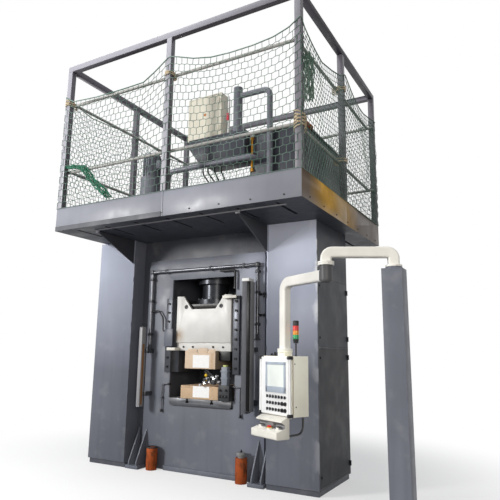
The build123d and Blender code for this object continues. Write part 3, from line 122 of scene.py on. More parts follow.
floor_mesh = bpy.data.meshes.new("floor")
corners = [(-floor_reach, -floor_reach, 0), (floor_reach, -floor_reach, 0),
           (floor_reach, floor_reach, 0), (-floor_reach, floor_reach, 0)]
floor_mesh.from_pydata(corners, [], [(0, 1, 2, 3)])
floor = bpy.data.objects.new("floor", floor_mesh)
scene.collection.objects.link(floor)
floor_paint = bpy.data.materials.new("studio floor")
floor_paint.use_nodes = True
ground = floor_paint.node_tree
matt = ground.nodes["Principled BSDF"]
matt.inputs["Roughness"].default_value = 0.9
looked_at = sees_backdrop(ground)
tone = ground.nodes.new("ShaderNodeMix")
tone.data_type = "RGBA"
tone.inputs[6].default_value = floor_return
tone.inputs[7].default_value = floor_white
ground.links.new(looked_at, tone.inputs[0])
ground.links.new(tone.outputs[2], matt.inputs["Base Color"])
spot = ground.nodes.new("ShaderNodeTexCoord")
distance = ground.nodes.new("ShaderNodeVectorMath")
distance.operation = "LENGTH"
ground.links.new(spot.outputs["Object"], distance.inputs[0])
fade = ground.nodes.new("ShaderNodeMapRange")
fade.interpolation_type = "SMOOTHSTEP"
fade.inputs["From Min"].default_value = fade_start
fade.inputs["From Max"].default_value = fade_end
fade.inputs["To Min"].default_value = fade_least
ground.links.new(distance.outputs["Value"], fade.inputs["Value"])
shown = ground.nodes.new("ShaderNodeMath")
shown.operation = "MULTIPLY"
ground.links.new(fade.outputs[0], shown.inputs[0])
ground.links.new(looked_at, shown.inputs[1])
glow = ground.nodes.new("ShaderNodeEmission")
mixed = ground.nodes.new("ShaderNodeMixShader")
ground.links.new(shown.outputs[0], mixed.inputs[0])
ground.links.new(matt.outputs[0], mixed.inputs[1])
ground.links.new(glow.outputs[0], mixed.inputs[2])
ground.links.new(mixed.outputs[0], ground.nodes["Material Output"].inputs[0])
floor_mesh.materials.append(floor_paint)
floor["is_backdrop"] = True

# Soft boxes: a key in front and to the left, a warm fill from the right, and one over the platform.
# Each is a large square lamp turned towards the machine.
lamps = {
    "key_light": ((-5.2, -8.2, 4.4), (0.3, -0.4, 2.7), 1.8, 820, (1.0, 0.99, 0.97)),
    "right_light": ((6.0, -7.6, 2.6), (1.8, -1.0, 1.6), 2.4, 240, (1.0, 0.93, 0.82)),
    "top_light": ((-0.6, -3.0, 10.5), (0.2, -0.4, 3.5), 6.0, 360, (0.97, 0.98, 1.0)),
}
for label, (lamp_place, aim, side, power, tint) in lamps.items():
    lamp_data = bpy.data.lights.new(label, "AREA")
    lamp_data.size = side
    lamp_data.energy = power
    lamp_data.color = tint
    lamp = bpy.data.objects.new(label, lamp_data)
    heading = (Vector(aim) - Vector(lamp_place)).to_track_quat("-Z", "Y")
    lamp.matrix_world = Matrix.Translation(lamp_place) @ heading.to_matrix().to_4x4()
    scene.collection.objects.link(lamp)

# Press frame, feet, deck, doors and rear guard: welded plate in slate-grey machine paint.
# The paint is sprayed on, a little cloudy, with faint runs, dust and a fine orange-peel skin.
slate = (0.118, 0.126, 0.155)
dust = (0.30, 0.30, 0.31)
paint_shine, dull_shine = 0.26, 0.10


def shader(name):
    """A new material, its node tree and its surface shader."""
    material = bpy.data.materials.new(name)
    material.use_nodes = True
    return material, material.node_tree, material.node_tree.nodes["Principled BSDF"]


def mapped(tree, stretch=(1, 1, 1), offset=(0, 0, 0)):
    """Object coordinates, stretched and moved."""
    place = tree.nodes.new("ShaderNodeTexCoord")
    mapping = tree.nodes.new("ShaderNodeMapping")
    mapping.inputs["Scale"].default_value = stretch
    mapping.inputs["Location"].default_value = offset
    tree.links.new(place.outputs["Object"], mapping.inputs["Vector"])
    return mapping.outputs["Vector"]


def along(tree, axis):
    """One of the object coordinates."""
    parts = tree.nodes.new("ShaderNodeSeparateXYZ")
    tree.links.new(mapped(tree), parts.inputs[0])
    return parts.outputs[axis]


def clouds(tree, scale, detail=4.0, stretch=(1, 1, 1), offset=(0, 0, 0)):
    """A noise pattern in object space."""
    pattern = tree.nodes.new("ShaderNodeTexNoise")
    pattern.inputs["Scale"].default_value = scale
    pattern.inputs["Detail"].default_value = detail
    tree.links.new(mapped(tree, stretch, offset), pattern.inputs["Vector"])
    return pattern.outputs["Fac"]


def levels(tree, source, low, high, bottom=0.0, top=1.0):
    """A value spread from one range to another, and held at its ends."""
    spread = tree.nodes.new("ShaderNodeMapRange")
    for socket, value in zip(("From Min", "From Max", "To Min", "To Max"), (low, high, bottom, top)):
        spread.inputs[socket].default_value = value
    tree.links.new(source, spread.inputs["Value"])
    return spread.outputs["Result"]


def times(tree, first, second):
    """The product of two values."""
    product = tree.nodes.new("ShaderNodeMath")
    product.operation = "MULTIPLY"
    tree.links.new(first, product.inputs[0])
    tree.links.new(second, product.inputs[1])
    return product.outputs[0]


def mix(tree, amount, first, second):
    """Two colours mixed by an amount: each is a colour or another mix."""
    blend = tree.nodes.new("ShaderNodeMix")
    blend.data_type = "RGBA"
    tree.links.new(amount, blend.inputs[0])
    for socket, colour in ((blend.inputs[6], first), (blend.inputs[7], second)):
        if isinstance(colour, tuple):
            socket.default_value = (*colour, 1)
        else:
            tree.links.new(colour, socket)
    return blend.outputs[2]


def colour_by(tree, surface, amount, first, second):
    """Gives a surface two colours mixed by an amount."""
    tree.links.new(mix(tree, amount, first, second), surface.inputs["Base Color"])


def shade(colour, amount):
    """A colour made darker or lighter."""
    return tuple(min(1.0, channel * amount) for channel in colour)


def roughen(tree, surface, height, strength, depth):
    """Bump on a surface from a height value."""
    bump = tree.nodes.new("ShaderNodeBump")
    bump.inputs["Strength"].default_value = strength
    bump.inputs["Distance"].default_value = depth
    tree.links.new(height, bump.inputs["Height"])
    tree.links.new(bump.outputs["Normal"], surface.inputs["Normal"])


def paint(name, colour, gloss=0.42, runs=0.35, grime=0.3, cloud=0.9, shine=paint_shine, metal=0.0):
    """Sprayed machine paint: cloudy tone, faint runs, dust and orange peel."""
    material, tree, surface = shader(name)
    tone = mix(tree, levels(tree, clouds(tree, cloud), 0.3, 0.7), shade(colour, 0.86), shade(colour, 1.14))
    streak = clouds(tree, 1.0, 5.0, (9, 9, 0.45))
    tone = mix(tree, levels(tree, streak, 0.5, 0.74, 0, runs), tone, shade(colour, 0.62))
    dirt = clouds(tree, 4.5, 9.0, offset=(3, 1, 2))
    tone = mix(tree, levels(tree, dirt, 0.56, 0.8, 0, grime), tone, dust)
    tree.links.new(tone, surface.inputs["Base Color"])
    tree.links.new(levels(tree, dirt, 0.3, 0.7, gloss - 0.06, gloss + 0.12), surface.inputs["Roughness"])
    surface.inputs["Specular IOR Level"].default_value = shine
    surface.inputs["Metallic"].default_value = metal
    roughen(tree, surface, clouds(tree, 90, 3.0), 0.12, 0.002)
    return material, tree, surface, tone


def dress(names, material):
    """Gives a finish to CAD pieces that keep their own shape."""
    for name in names:
        nodes[name].data.materials.clear()
        nodes[name].data.materials.append(material)


slate_paint = paint("slate paint", slate)[0]
# The press body and rear guard take a darker copy of the slate paint: painted shade for the crown, which is
# recessed under the platform.
body_paint = paint("press body paint", shade(slate, 0.62))[0]
dress(("press_body", "rear_guard"), body_paint)
# The deck takes a darker, duller copy of the slate paint: painted shade for its underside beneath the
# platform.
deck_paint = paint("deck paint", shade(slate, 0.6), shine=dull_shine)[0]
dress(("platform_deck",), deck_paint)
# The right doors take darker copies of the slate paint, the lower one darkest: painted shade for the
# machine's right side.
for node, depth in (("right_upper_door", 0.40), ("right_lower_door", 0.15)):
    door_paint = paint(f"{node} paint", shade(slate, depth), 0.36, 0.2, 0.08, shine=dull_shine)[0]
    dress((node,), door_paint)

# Front plate, feet and stand: thick flame-cut plate, deburred so that its edges catch the light.
# Each is the CAD shape with its sharp edges broken by a few millimetres.
merge_gap = 0.00001
sharp_angle = math.radians(35)


def plain_mesh(holder):
    """The mesh of an object with its modifiers applied; the object goes."""
    scene.collection.objects.link(holder)
    graph = bpy.context.evaluated_depsgraph_get()
    mesh = bpy.data.meshes.new_from_object(holder.evaluated_get(graph))
    bpy.data.objects.remove(holder)
    mesh.shade_smooth()
    mesh.set_sharp_from_angle(angle=sharp_angle)
    return mesh


def new_piece(name, mesh, body, material=None, replaced=()):
    """Links a mesh as a piece that rides on a body and may stand for CAD pieces."""
    piece = bpy.data.objects.new(name, mesh)
    scene.collection.objects.link(piece)
    if material:
        mesh.materials.clear()
        mesh.materials.append(material)
    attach(piece, body)
    if replaced:
        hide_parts(*replaced)
    return piece


def softened(node, body, material, edge=0.003):
    """A CAD piece with its sharp outer edges broken."""
    form = bmesh.new()
    form.from_mesh(nodes[node].data)
    bmesh.ops.remove_doubles(form, verts=form.verts, dist=merge_gap)
    bmesh.ops.dissolve_limit(form, angle_limit=math.radians(1), verts=form.verts, edges=form.edges)
    sharp = form.edges.layers.float.new("bevel_weight_edge")
    for side in form.edges:
        if side.is_manifold and side.is_convex and side.calc_face_angle() > sharp_angle:
            side[sharp] = 1.0
    mesh = bpy.data.meshes.new(f"{node}_softened")
    form.to_mesh(mesh)
    form.free()
    holder = bpy.data.objects.new(mesh.name, mesh)
    breaking = holder.modifiers.new("broken edges", "BEVEL")
    breaking.width = edge
    breaking.segments = 2
    breaking.limit_method = "WEIGHT"
    return new_piece(mesh.name, plain_mesh(holder), body, material, (node,))


plate_paint, tree, surface, tone = paint("front plate paint", slate)
# Painted light: the upper right part of the front plate is painted lighter.
lit_side = times(tree, levels(tree, along(tree, "X"), 0.45, 0.75),
                 levels(tree, along(tree, "Z"), 1.2, 2.5, 0.25, 0.8))
colour_by(tree, surface, lit_side, tone, shade(slate, 2.6))
softened("front_plate", "press_frame", plate_paint)
for node in ("left_foot", "right_foot", "stand_post"):
    softened(node, "press_frame", slate_paint)

# Columns: welded boxes of plate in the same paint, with painted light that lightens their front faces towards
# the top.
# The right one has pale filler rubbed along its front corner seam, in broken patches.
filler_grey = (0.80, 0.82, 0.86)
column_tops = (1.3, 2.7)
front_band, side_band, gusset_shade_band = (-0.536, -0.530), (1.790, 1.797), (-0.570, -0.550)


def column_paint(name, filled, brighter):
    """Slate paint with painted light up the front faces and painted shade on the gussets; the filled column
    also has a painted-shade side and filler patches.
    """
    material, tree, surface, tone = paint(name, slate)
    # Painted light: the front faces grow lighter towards the top.
    height = times(tree, levels(tree, along(tree, "Z"), *column_tops),
                   levels(tree, along(tree, "Y"), *front_band, 1.0, 0.1))
    tone = mix(tree, times(tree, height, levels(tree, clouds(tree, 0.8), 0.2, 0.8, 0.55, 1.0)),
               tone, shade(slate, brighter))
    # Painted shade: the filled column's right side face is darkened.
    painted_side_shade = 0.85 if filled else 0.0
    tone = mix(tree, levels(tree, along(tree, "X"), *side_band, 0.0, painted_side_shade), tone, shade(slate, 0.26))
    # Painted shade: the gussets under the platform are darkened.
    tone = mix(tree, levels(tree, along(tree, "Y"), *gusset_shade_band, 1.0, 0.0), tone, shade(slate, 0.30))
    if filled:
        beside_corner = levels(tree, along(tree, "X"), 1.70, 1.785)
        patches = levels(tree, clouds(tree, 6.0, 8.0, (1, 1, 0.5)), 0.47, 0.58)
        on_front = levels(tree, along(tree, "Y"), *front_band, 1.0, 0.0)
        upper_part = levels(tree, along(tree, "Z"), 1.5, 2.6, 0.15, 1.0)
        filler = times(tree, times(tree, times(tree, beside_corner, upper_part), patches), on_front)
        tone = mix(tree, filler, tone, filler_grey)
    tree.links.new(tone, surface.inputs["Base Color"])
    return material


softened("left_column", "press_frame", column_paint("left column paint", False, 3.3), 0.004)
softened("right_column", "press_frame", column_paint("right column paint", True, 5.6), 0.004)

# Weld seams: beads of weld metal along the gussets, the feet and the columns' inner edges.
# A row of flattened drops follows each seam, painted over with the frame.
gusset_foot, gusset_root = 2.859, 3.215
column_front, column_inner = -0.540, 1.110
plate_front, foot_top = -0.330, 0.515
rib_faces = (0.895, 0.915, 1.025, 1.045)


def node_tree(name, **sizes):
    """A Geometry Nodes tree with a geometry and named sizes going in, and a geometry coming out."""
    tree = bpy.data.node_groups.new(name, "GeometryNodeTree")
    tree.interface.new_socket("Geometry", in_out="INPUT", socket_type="NodeSocketGeometry")
    for label, kind in sizes.items():
        tree.interface.new_socket(label, in_out="INPUT", socket_type=f"NodeSocket{kind}")
    tree.interface.new_socket("Finish", in_out="INPUT", socket_type="NodeSocketMaterial")
    tree.interface.new_socket("Geometry", in_out="OUTPUT", socket_type="NodeSocketGeometry")
    return tree, tree.nodes.new("NodeGroupInput").outputs


def step(tree, kind, **inputs):
    """Adds a node, and sets or links its inputs by their names."""
    node = tree.nodes.new(kind)
    for label, value in inputs.items():
        socket = node.inputs[label.replace("_", " ")]
        if isinstance(value, bpy.types.NodeSocket):
            tree.links.new(value, socket)
        else:
            socket.default_value = value
    return node.outputs[0]


def close(tree, shape, given):
    """Ends a tree: its instances are made real and get their finish."""
    real = step(tree, "GeometryNodeRealizeInstances", Geometry=shape)
    done = step(tree, "GeometryNodeSetMaterial", Geometry=real, Material=given["Finish"])
    tree.links.new(done, tree.nodes.new("NodeGroupOutput").inputs[0])


def grow(name, seed, tree, finish, **sizes):
    """The plain mesh that a tree makes from a seed mesh."""
    holder = bpy.data.objects.new(name, seed)
    maker = holder.modifiers.new(name, "NODES")
    maker.node_group = tree
    sizes["Finish"] = finish
    for item in tree.interface.items_tree:
        if item.in_out == "INPUT" and item.name in sizes:
            maker[item.identifier] = sizes[item.name]
    return plain_mesh(holder)


def lines(name, routes):
    """A mesh of open lines, one through each list of points."""
    points, edges = [], []
    for route in routes:
        edges += [(len(points) + i, len(points) + i + 1) for i in range(len(route) - 1)]
        points += route
    mesh = bpy.data.meshes.new(name)
    mesh.from_pydata(points, edges, [])
    return mesh


weld_tree, given = node_tree("weld bead", bead="Float", pitch="Float")
seam = step(weld_tree, "GeometryNodeMeshToCurve", Mesh=given["Geometry"])
drops = weld_tree.nodes.new("GeometryNodeCurveToPoints")
drops.mode = "LENGTH"
weld_tree.links.new(seam, drops.inputs["Curve"])
weld_tree.links.new(given["pitch"], drops.inputs["Length"])
drop = step(weld_tree, "GeometryNodeMeshIcoSphere", Radius=given["bead"], Subdivisions=2)
row = step(weld_tree, "GeometryNodeInstanceOnPoints", Points=drops.outputs["Points"], Instance=drop,
           Rotation=drops.outputs["Rotation"], Scale=(0.85, 0.85, 0.6))
close(weld_tree, row, given)

seams = []
for side in (-1, 1):
    for face in (column_inner, column_inner + 0.020):
        seams.append([(side * face, column_front, gusset_foot), (side * face, column_front, gusset_root)])
    for face in rib_faces:
        seams.append([(side * face, plate_front, 0.05), (side * face, plate_front, foot_top)])
    edge_x = side * (column_inner + 0.002)
    for tack in range(7):
        start = 0.62 + 0.33 * tack
        seams.append([(edge_x, column_front - 0.001, start), (edge_x, column_front - 0.001, start + 0.06)])
weld_mesh = grow("weld_seams", lines("weld_seams", seams), weld_tree, slate_paint, bead=0.006, pitch=0.006)
new_piece("weld_seams", weld_mesh, "press_frame")

# Main cylinder and piston rod: black-oiled forged steel, the rod bolted to the ram by its flange.
# The oil film is uneven, so the gloss changes over the surface.
black_oil = paint("black oiled steel", (0.030, 0.032, 0.038), 0.26, 0.2, 0.10, 3.0, metal=0.6)[0]
dress(("main_cylinder", "piston_rod"), black_oil)

# Ram: a machined steel block in cream enamel, stained brown with die oil at its lower left corner.
# The seat between its cheeks is painted near black as shade under the rod's flange; its brackets are bolted
# on, and the clamp is bare steel.
cream = (0.64, 0.635, 0.62)
oil_brown, seat_shade = (0.30, 0.18, 0.07), (0.022, 0.021, 0.020)
stain_place = (-0.44, -0.32, 1.80)


def distance_from(tree, place, stretch=(1, 1, 1)):
    """How far each point of a piece is from a place."""
    apart = tree.nodes.new("ShaderNodeVectorMath")
    apart.operation = "DISTANCE"
    tree.links.new(mapped(tree, stretch), apart.inputs[0])
    apart.inputs[1].default_value = place
    return apart.outputs["Value"]


ram_paint, tree, surface, tone = paint("cream ram enamel", cream, 0.36, 0.10, 0.08, 1.6)
ragged = levels(tree, clouds(tree, 9.0, 6.0), 0.25, 0.75, 0.15, 1.0)
stain = times(tree, levels(tree, distance_from(tree, stain_place), 0.02, 0.17, 0.9, 0.0), ragged)
tone = mix(tree, stain, tone, oil_brown)
# Painted shade: the seat between the cheeks, under the rod's flange, is painted near black.
inside_cheeks = times(tree, levels(tree, along(tree, "Y"), -0.290, -0.280),
                      levels(tree, along(tree, "Y"), 0.280, 0.290, 1, 0))
seat = times(tree, levels(tree, along(tree, "Z"), 2.160, 2.166), inside_cheeks)
colour_by(tree, surface, seat, tone, seat_shade)
softened("ram", "ram", ram_paint, 0.004)
ram_foot_level = 1.60
bracket_paint, tree, surface, tone = paint("bracket enamel", (0.72, 0.70, 0.64), 0.4, 0.3, 0.3, 3.0)
tone = mix(tree, levels(tree, along(tree, "Z"), ram_foot_level - 0.001, ram_foot_level + 0.001),
           (0.012, 0.012, 0.012), tone)
tree.links.new(tone, surface.inputs["Base Color"])
softened("ram_brackets", "ram", bracket_paint)

# Ram screws: black socket screws in the cheek holes and along the foot of the ram.
# Each head is turned from bar, with a hexagon broached into it.
screw_black = paint("blackened screw", (0.016, 0.016, 0.018), 0.4, 0.0, 0.15, 20.0)[0]
cheek_x, cheek_z, ram_front = 0.293, 2.215, -0.320
foot_front, foot_screw_z = -0.300, 1.655

screw_tree, given = node_tree("socket screws", radius="Float", height="Float", facing="Vector", sides="Int")
head = screw_tree.nodes.new("GeometryNodeMeshCylinder")
screw_tree.links.new(given["sides"], head.inputs["Vertices"])
screw_tree.links.new(given["radius"], head.inputs["Radius"])
screw_tree.links.new(given["height"], head.inputs["Depth"])
inset = screw_tree.nodes.new("GeometryNodeExtrudeMesh")
screw_tree.links.new(head.outputs["Mesh"], inset.inputs["Mesh"])
screw_tree.links.new(head.outputs["Top"], inset.inputs["Selection"])
inset.inputs["Offset Scale"].default_value = 0.0
shrunk = screw_tree.nodes.new("GeometryNodeScaleElements")
screw_tree.links.new(inset.outputs["Mesh"], shrunk.inputs["Geometry"])
screw_tree.links.new(inset.outputs["Top"], shrunk.inputs["Selection"])
shrunk.inputs["Scale"].default_value = 0.55
sunk = screw_tree.nodes.new("GeometryNodeExtrudeMesh")
screw_tree.links.new(shrunk.outputs[0], sunk.inputs["Mesh"])
screw_tree.links.new(inset.outputs["Top"], sunk.inputs["Selection"])
half_deep = screw_tree.nodes.new("ShaderNodeMath")
half_deep.operation = "MULTIPLY"
half_deep.inputs[1].default_value = -0.5
screw_tree.links.new(given["height"], half_deep.inputs[0])
screw_tree.links.new(half_deep.outputs[0], sunk.inputs["Offset Scale"])
aimed = screw_tree.nodes.new("FunctionNodeAlignRotationToVector")
aimed.axis = "Z"
screw_tree.links.new(given["facing"], aimed.inputs["Vector"])
heads = step(screw_tree, "GeometryNodeInstanceOnPoints", Points=given["Geometry"],
             Instance=sunk.outputs["Mesh"], Rotation=aimed.outputs[0])
close(screw_tree, heads, given)
front, up = (0.0, -1.0, 0.0), (0.0, 0.0, 1.0)


def screws(name, places, radius, height, facing, finish, body, replaced=(), sides=18):
    """A group of screw heads, each with its middle at one of the places."""
    mesh = grow(name, lines(name, [[place] for place in places]), screw_tree, finish,
                radius=radius, height=height, facing=facing, sides=sides)
    return new_piece(name, mesh, body, None, replaced)


cheek_screws = [(side * cheek_x, ram_front + 0.004, cheek_z) for side in (-1, 1)]
screws("ram_cheek_screws", cheek_screws, 0.027, 0.020, front, screw_black, "ram")
foot_screws = [(x, foot_front - 0.004, foot_screw_z) for x in (-0.33, -0.17, 0.17, 0.33)]
screws("ram_foot_screws", foot_screws, 0.014, 0.016, front, screw_black, "ram")

# Gibs: dark guide strips that the ram runs between, each held by eight socket screws.
# A painted cover plate is screwed over the middle of the left one.
gib_steel = paint("oiled gib steel", (0.060, 0.064, 0.076), 0.34, 0.2, 0.12, 3.0, metal=0.4)[0]
softened("left_gib", "press_frame", gib_steel, 0.002)
softened("right_gib", "press_frame", gib_steel, 0.002)
gib_x, gib_front, gib_screw_count = 0.562, -0.360, 8
gib_low, gib_high = 1.378, 2.266
gib_step = (gib_high - gib_low) / (gib_screw_count - 1)
gib_places = [(side * gib_x, gib_front - 0.010, gib_low + gib_step * i)
              for side in (-1, 1) for i in range(gib_screw_count)]
screws("gib_screws", gib_places, 0.016, 0.020, front, screw_black, "press_frame",
       ("gib_bolts",))


def add_block(form, low, high, edge=0.0, steps=2, turn=Matrix()):
    """Adds a box with rounded edges to a form."""
    box = bmesh.ops.create_cube(form, size=1.0)["verts"]
    for corner in box:
        share = corner.co + Vector((0.5, 0.5, 0.5))
        corner.co = turn @ Vector([low[i] + share[i] * (high[i] - low[i]) for i in range(3)])
    if edge:
        sides = list({side for corner in box for side in corner.link_edges})
        bmesh.ops.bevel(form, geom=sides, offset=edge, segments=steps, profile=0.5, affect="EDGES")


def add_lathe(form, profile, place, direction=up, sides=24, turn=Matrix()):
    """Adds a turned shape: its profile is (radius, height) pairs from end to end."""
    where = turn @ Matrix.Translation(place) @ Vector(direction).to_track_quat("Z", "Y").to_matrix().to_4x4()
    rings = []
    for radius, height in profile:
        count = sides if radius else 1
        angles = [2 * math.pi * i / count for i in range(count)]
        rings.append([form.verts.new(where @ Vector((radius * math.cos(a), radius * math.sin(a), height)))
                      for a in angles])
    for lower, upper in zip(rings, rings[1:]):
        for i in range(sides):
            j = i + 1
            quad = (lower[i % len(lower)], lower[j % len(lower)],
                    upper[j % len(upper)], upper[i % len(upper)])
            form.faces.new(list(dict.fromkeys(quad)))


def shaped(name, form, body, material, replaced=()):
    """The piece that a form makes, smooth but for its sharp edges."""
    bmesh.ops.recalc_face_normals(form, faces=form.faces)
    mesh = bpy.data.meshes.new(name)
    form.to_mesh(mesh)
    form.free()
    mesh.shade_smooth()
    mesh.set_sharp_from_angle(angle=sharp_angle)
    return new_piece(name, mesh, body, material, replaced)


def one_block(name, low, high, edge, material, steps=2):
    """A piece on the press frame that is one block with rounded edges."""
    form = bmesh.new()
    add_block(form, low, high, edge, steps)
    return shaped(name, form, "press_frame", material)


def one_turned(name, profile, place, direction, sides, body, material, turn=Matrix()):
    """A piece that is one turned shape."""
    form = bmesh.new()
    add_lathe(form, profile, place, direction, sides, turn)
    return shaped(name, form, body, material)


form = bmesh.new()
add_block(form, (-0.618, -0.388, 1.66), (-0.470, -0.380, 1.90), 0.003)
for x in (-0.606, -0.482):
    for z in (1.675, 1.885):
        add_lathe(form, [(0, 0), (0.007, 0), (0.007, 0.006), (0, 0.007)], (x, -0.388, z), front, 12)
shaped("gib_cover", form, "press_frame", slate_paint)

# Bolster: the slotted die table, machined cast steel with an oil-dark top and a paler worn nose.
# It lies on the bed in the throat, with its edges broken.
bolster_grey = (0.085, 0.088, 0.098)
bolster_steel, tree, surface, tone = paint("worn bolster steel", bolster_grey, 0.36, 0.3, 0.25, 2.0,
                                           metal=0.5)
worn = times(tree, levels(tree, clouds(tree, 3.0, 6.0, (0.4, 1, 2)), 0.45, 0.6),
             levels(tree, along(tree, "Z"), 0.90, 0.955, 0.0, 0.8))
colour_by(tree, surface, worn, tone, (0.34, 0.34, 0.35))
softened("bolster", "press_frame", bolster_steel, 0.004)

# Wrapped dies: each die is boxed in tan corrugated board with a blank white label on its front.
# The board is folded and taped, a little bowed, with its flutes showing at the cut edges.
board = (0.545, 0.385, 0.245)
board_thick = 0.005


def bands(tree, scale, direction="Z", distortion=0.0):
    """Waves that run along one direction."""
    waves = tree.nodes.new("ShaderNodeTexWave")
    waves.bands_direction = direction
    waves.inputs["Scale"].default_value = scale
    waves.inputs["Distortion"].default_value = distortion
    tree.links.new(mapped(tree), waves.inputs["Vector"])
    return waves.outputs["Fac"]


def mottled(name, pattern, spread, first, second, gloss, strength, depth, metal=0.0):
    """A stuff whose two colours and bump follow one noise pattern."""
    material, tree, surface = shader(name)
    grain = clouds(tree, *pattern)
    colour_by(tree, surface, levels(tree, grain, *spread), first, second)
    surface.inputs["Roughness"].default_value = gloss
    surface.inputs["Metallic"].default_value = metal
    roughen(tree, surface, grain, strength, depth)
    return material


card, tree, surface = shader("corrugated board")
fibre = clouds(tree, 55, 6.0, (1, 1, 0.15))
tone = mix(tree, levels(tree, clouds(tree, 3.0, 4.0), 0.3, 0.7), shade(board, 0.88), shade(board, 1.08))
tone = mix(tree, levels(tree, fibre, 0.45, 0.75, 0, 0.35), tone, shade(board, 0.7))
scuff = levels(tree, clouds(tree, 11.0, 8.0, offset=(4, 2, 0)), 0.6, 0.75, 0, 0.5)
tone = mix(tree, scuff, tone, shade(board, 1.35))
paler_up = levels(tree, along(tree, "Z"), 1.2, 1.34, 0.0, 0.5)
tone = mix(tree, paler_up, tone, (0.72, 0.60, 0.49))
# Painted shade: the upper carton's right side face is darkened.
shaded_side = times(tree, levels(tree, along(tree, "X"), 0.247, 0.253, 0.0, 0.8),
                  levels(tree, along(tree, "Z"), 1.25, 1.30))
colour_by(tree, surface, shaded_side, tone, shade(board, 0.2))
surface.inputs["Roughness"].default_value = 0.85
roughen(tree, surface, bands(tree, 45, "X", 0.6), 0.10, 0.002)
paper = mottled("label paper", (30, 5.0), (0.3, 0.7), (0.80, 0.80, 0.80), (0.86, 0.86, 0.85),
                0.7, 0.2, 0.0006)
tape = mottled("packing tape", (24, 5.0, (1, 1, 4)), (0.4, 0.6), shade(board, 0.82), shade(board, 1.0),
               0.28, 0.3, 0.001)


def board_box(form, low, high, bow):
    """Adds a board box whose faces are slightly bowed and uneven."""
    add_block(form, low, high, 0.006)
    bmesh.ops.subdivide_edges(form, edges=form.edges, cuts=5, use_grid_fill=True)
    middle = (Vector(low) + Vector(high)) / 2
    for vert in form.verts:
        inward = (middle - vert.co).normalized()
        vert.co += inward * bow * (0.5 + noise.noise(vert.co * 7))


def carton(name, low, high, body, replaced, label, lip):
    """A wrapped die: box, front flap, lip boards, tape and label."""
    form = bmesh.new()
    board_box(form, (low[0], low[1] + board_thick, low[2]), high, 0.004)
    flap_low, flap_high = low[2] + 0.004, high[2] - 0.03
    add_block(form, (low[0] + 0.006, low[1], flap_low),
              (high[0] - 0.006, low[1] + board_thick, flap_high), 0.0015)
    for x0, x1, rise in lip:
        add_block(form, (x0, low[1] + 0.002, flap_high), (x1, low[1] + 0.007, high[2] + rise), 0.0015)
    shaped(name, form, body, card, (replaced,))
    form = bmesh.new()
    x0, x1, z0, z1 = label
    add_block(form, (x0, low[1] - 0.0012, z0), (x1, low[1] - 0.0002, z1), 0.0004, 1)
    shaped(f"{name}_label", form, body, paper)
    form = bmesh.new()
    add_block(form, (x1 + 0.02, low[1] - 0.0008, flap_low),
              (x1 + 0.068, low[1] + 0.0002, high[2] - 0.031), 0.0003, 1)
    shaped(f"{name}_tape", form, body, tape)


carton("upper_carton", (-0.255, -0.370, 1.360), (0.255, 0.250, 1.605), "ram", "upper_die_carton",
       (-0.116, 0.154, 1.377, 1.546), ((-0.20, -0.05, 0.026), (-0.03, 0.12, 0.033), (0.14, 0.245, 0.022)))
carton("lower_carton", (-0.310, -0.370, 0.960), (0.310, 0.250, 1.135), "press_frame", "lower_die_carton",
       (-0.100, 0.166, 0.985, 1.131), ((-0.30, -0.16, -0.002), (0.2, 0.30, -0.002)))

# Pipe loop on the front plate: plated tube bent round the window, held by saddle clips.
# Short fittings with hexagon nuts close its two ends.
pipe_chrome, tree, surface = shader("dark plated pipe")
ripple = clouds(tree, 1.6, 3.0)
colour_by(tree, surface, levels(tree, ripple, 0.35, 0.65), (0.055, 0.058, 0.068), (0.15, 0.155, 0.175))
surface.inputs["Metallic"].default_value = 0.55
tree.links.new(levels(tree, ripple, 0.3, 0.7, 0.22, 0.36), surface.inputs["Roughness"])
pipe_axis, loop_x, loop_top = -0.370, 0.890, 2.742
loop_left_end, loop_right_end = 1.670, 1.815
loop_radius, loop_bend, elbow_half = 0.022, 0.045, 0.032
drain_x, drain_top = 0.640, 1.141

pipe_tree, given = node_tree("pipe along a path", radius="Float", sides="Int")
path = step(pipe_tree, "GeometryNodeMeshToCurve", Mesh=given["Geometry"])
ring = step(pipe_tree, "GeometryNodeCurvePrimitiveCircle", Resolution=given["sides"], Radius=given["radius"])
swept = step(pipe_tree, "GeometryNodeCurveToMesh", Curve=path, Profile_Curve=ring, Fill_Caps=True)
close(pipe_tree, swept, given)


def bent(name, routes, bend):
    """Lines whose inner corners are bent round, as a tube bender leaves them."""
    form = bmesh.new()
    form.from_mesh(lines(name, routes))
    corners = [vert for vert in form.verts if len(vert.link_edges) == 2]
    bmesh.ops.bevel(form, geom=corners, offset=bend, segments=8, profile=0.5, affect="VERTICES")
    mesh = bpy.data.meshes.new(name)
    form.to_mesh(mesh)
    form.free()
    return mesh


def pipes(name, routes, radius, bend, finish, body="press_frame", replaced=(), sides=16):
    """Bent pipes along their routes."""
    mesh = grow(name, bent(name, routes, bend), pipe_tree, finish, radius=radius, sides=sides)
    return new_piece(name, mesh, body, None, replaced)


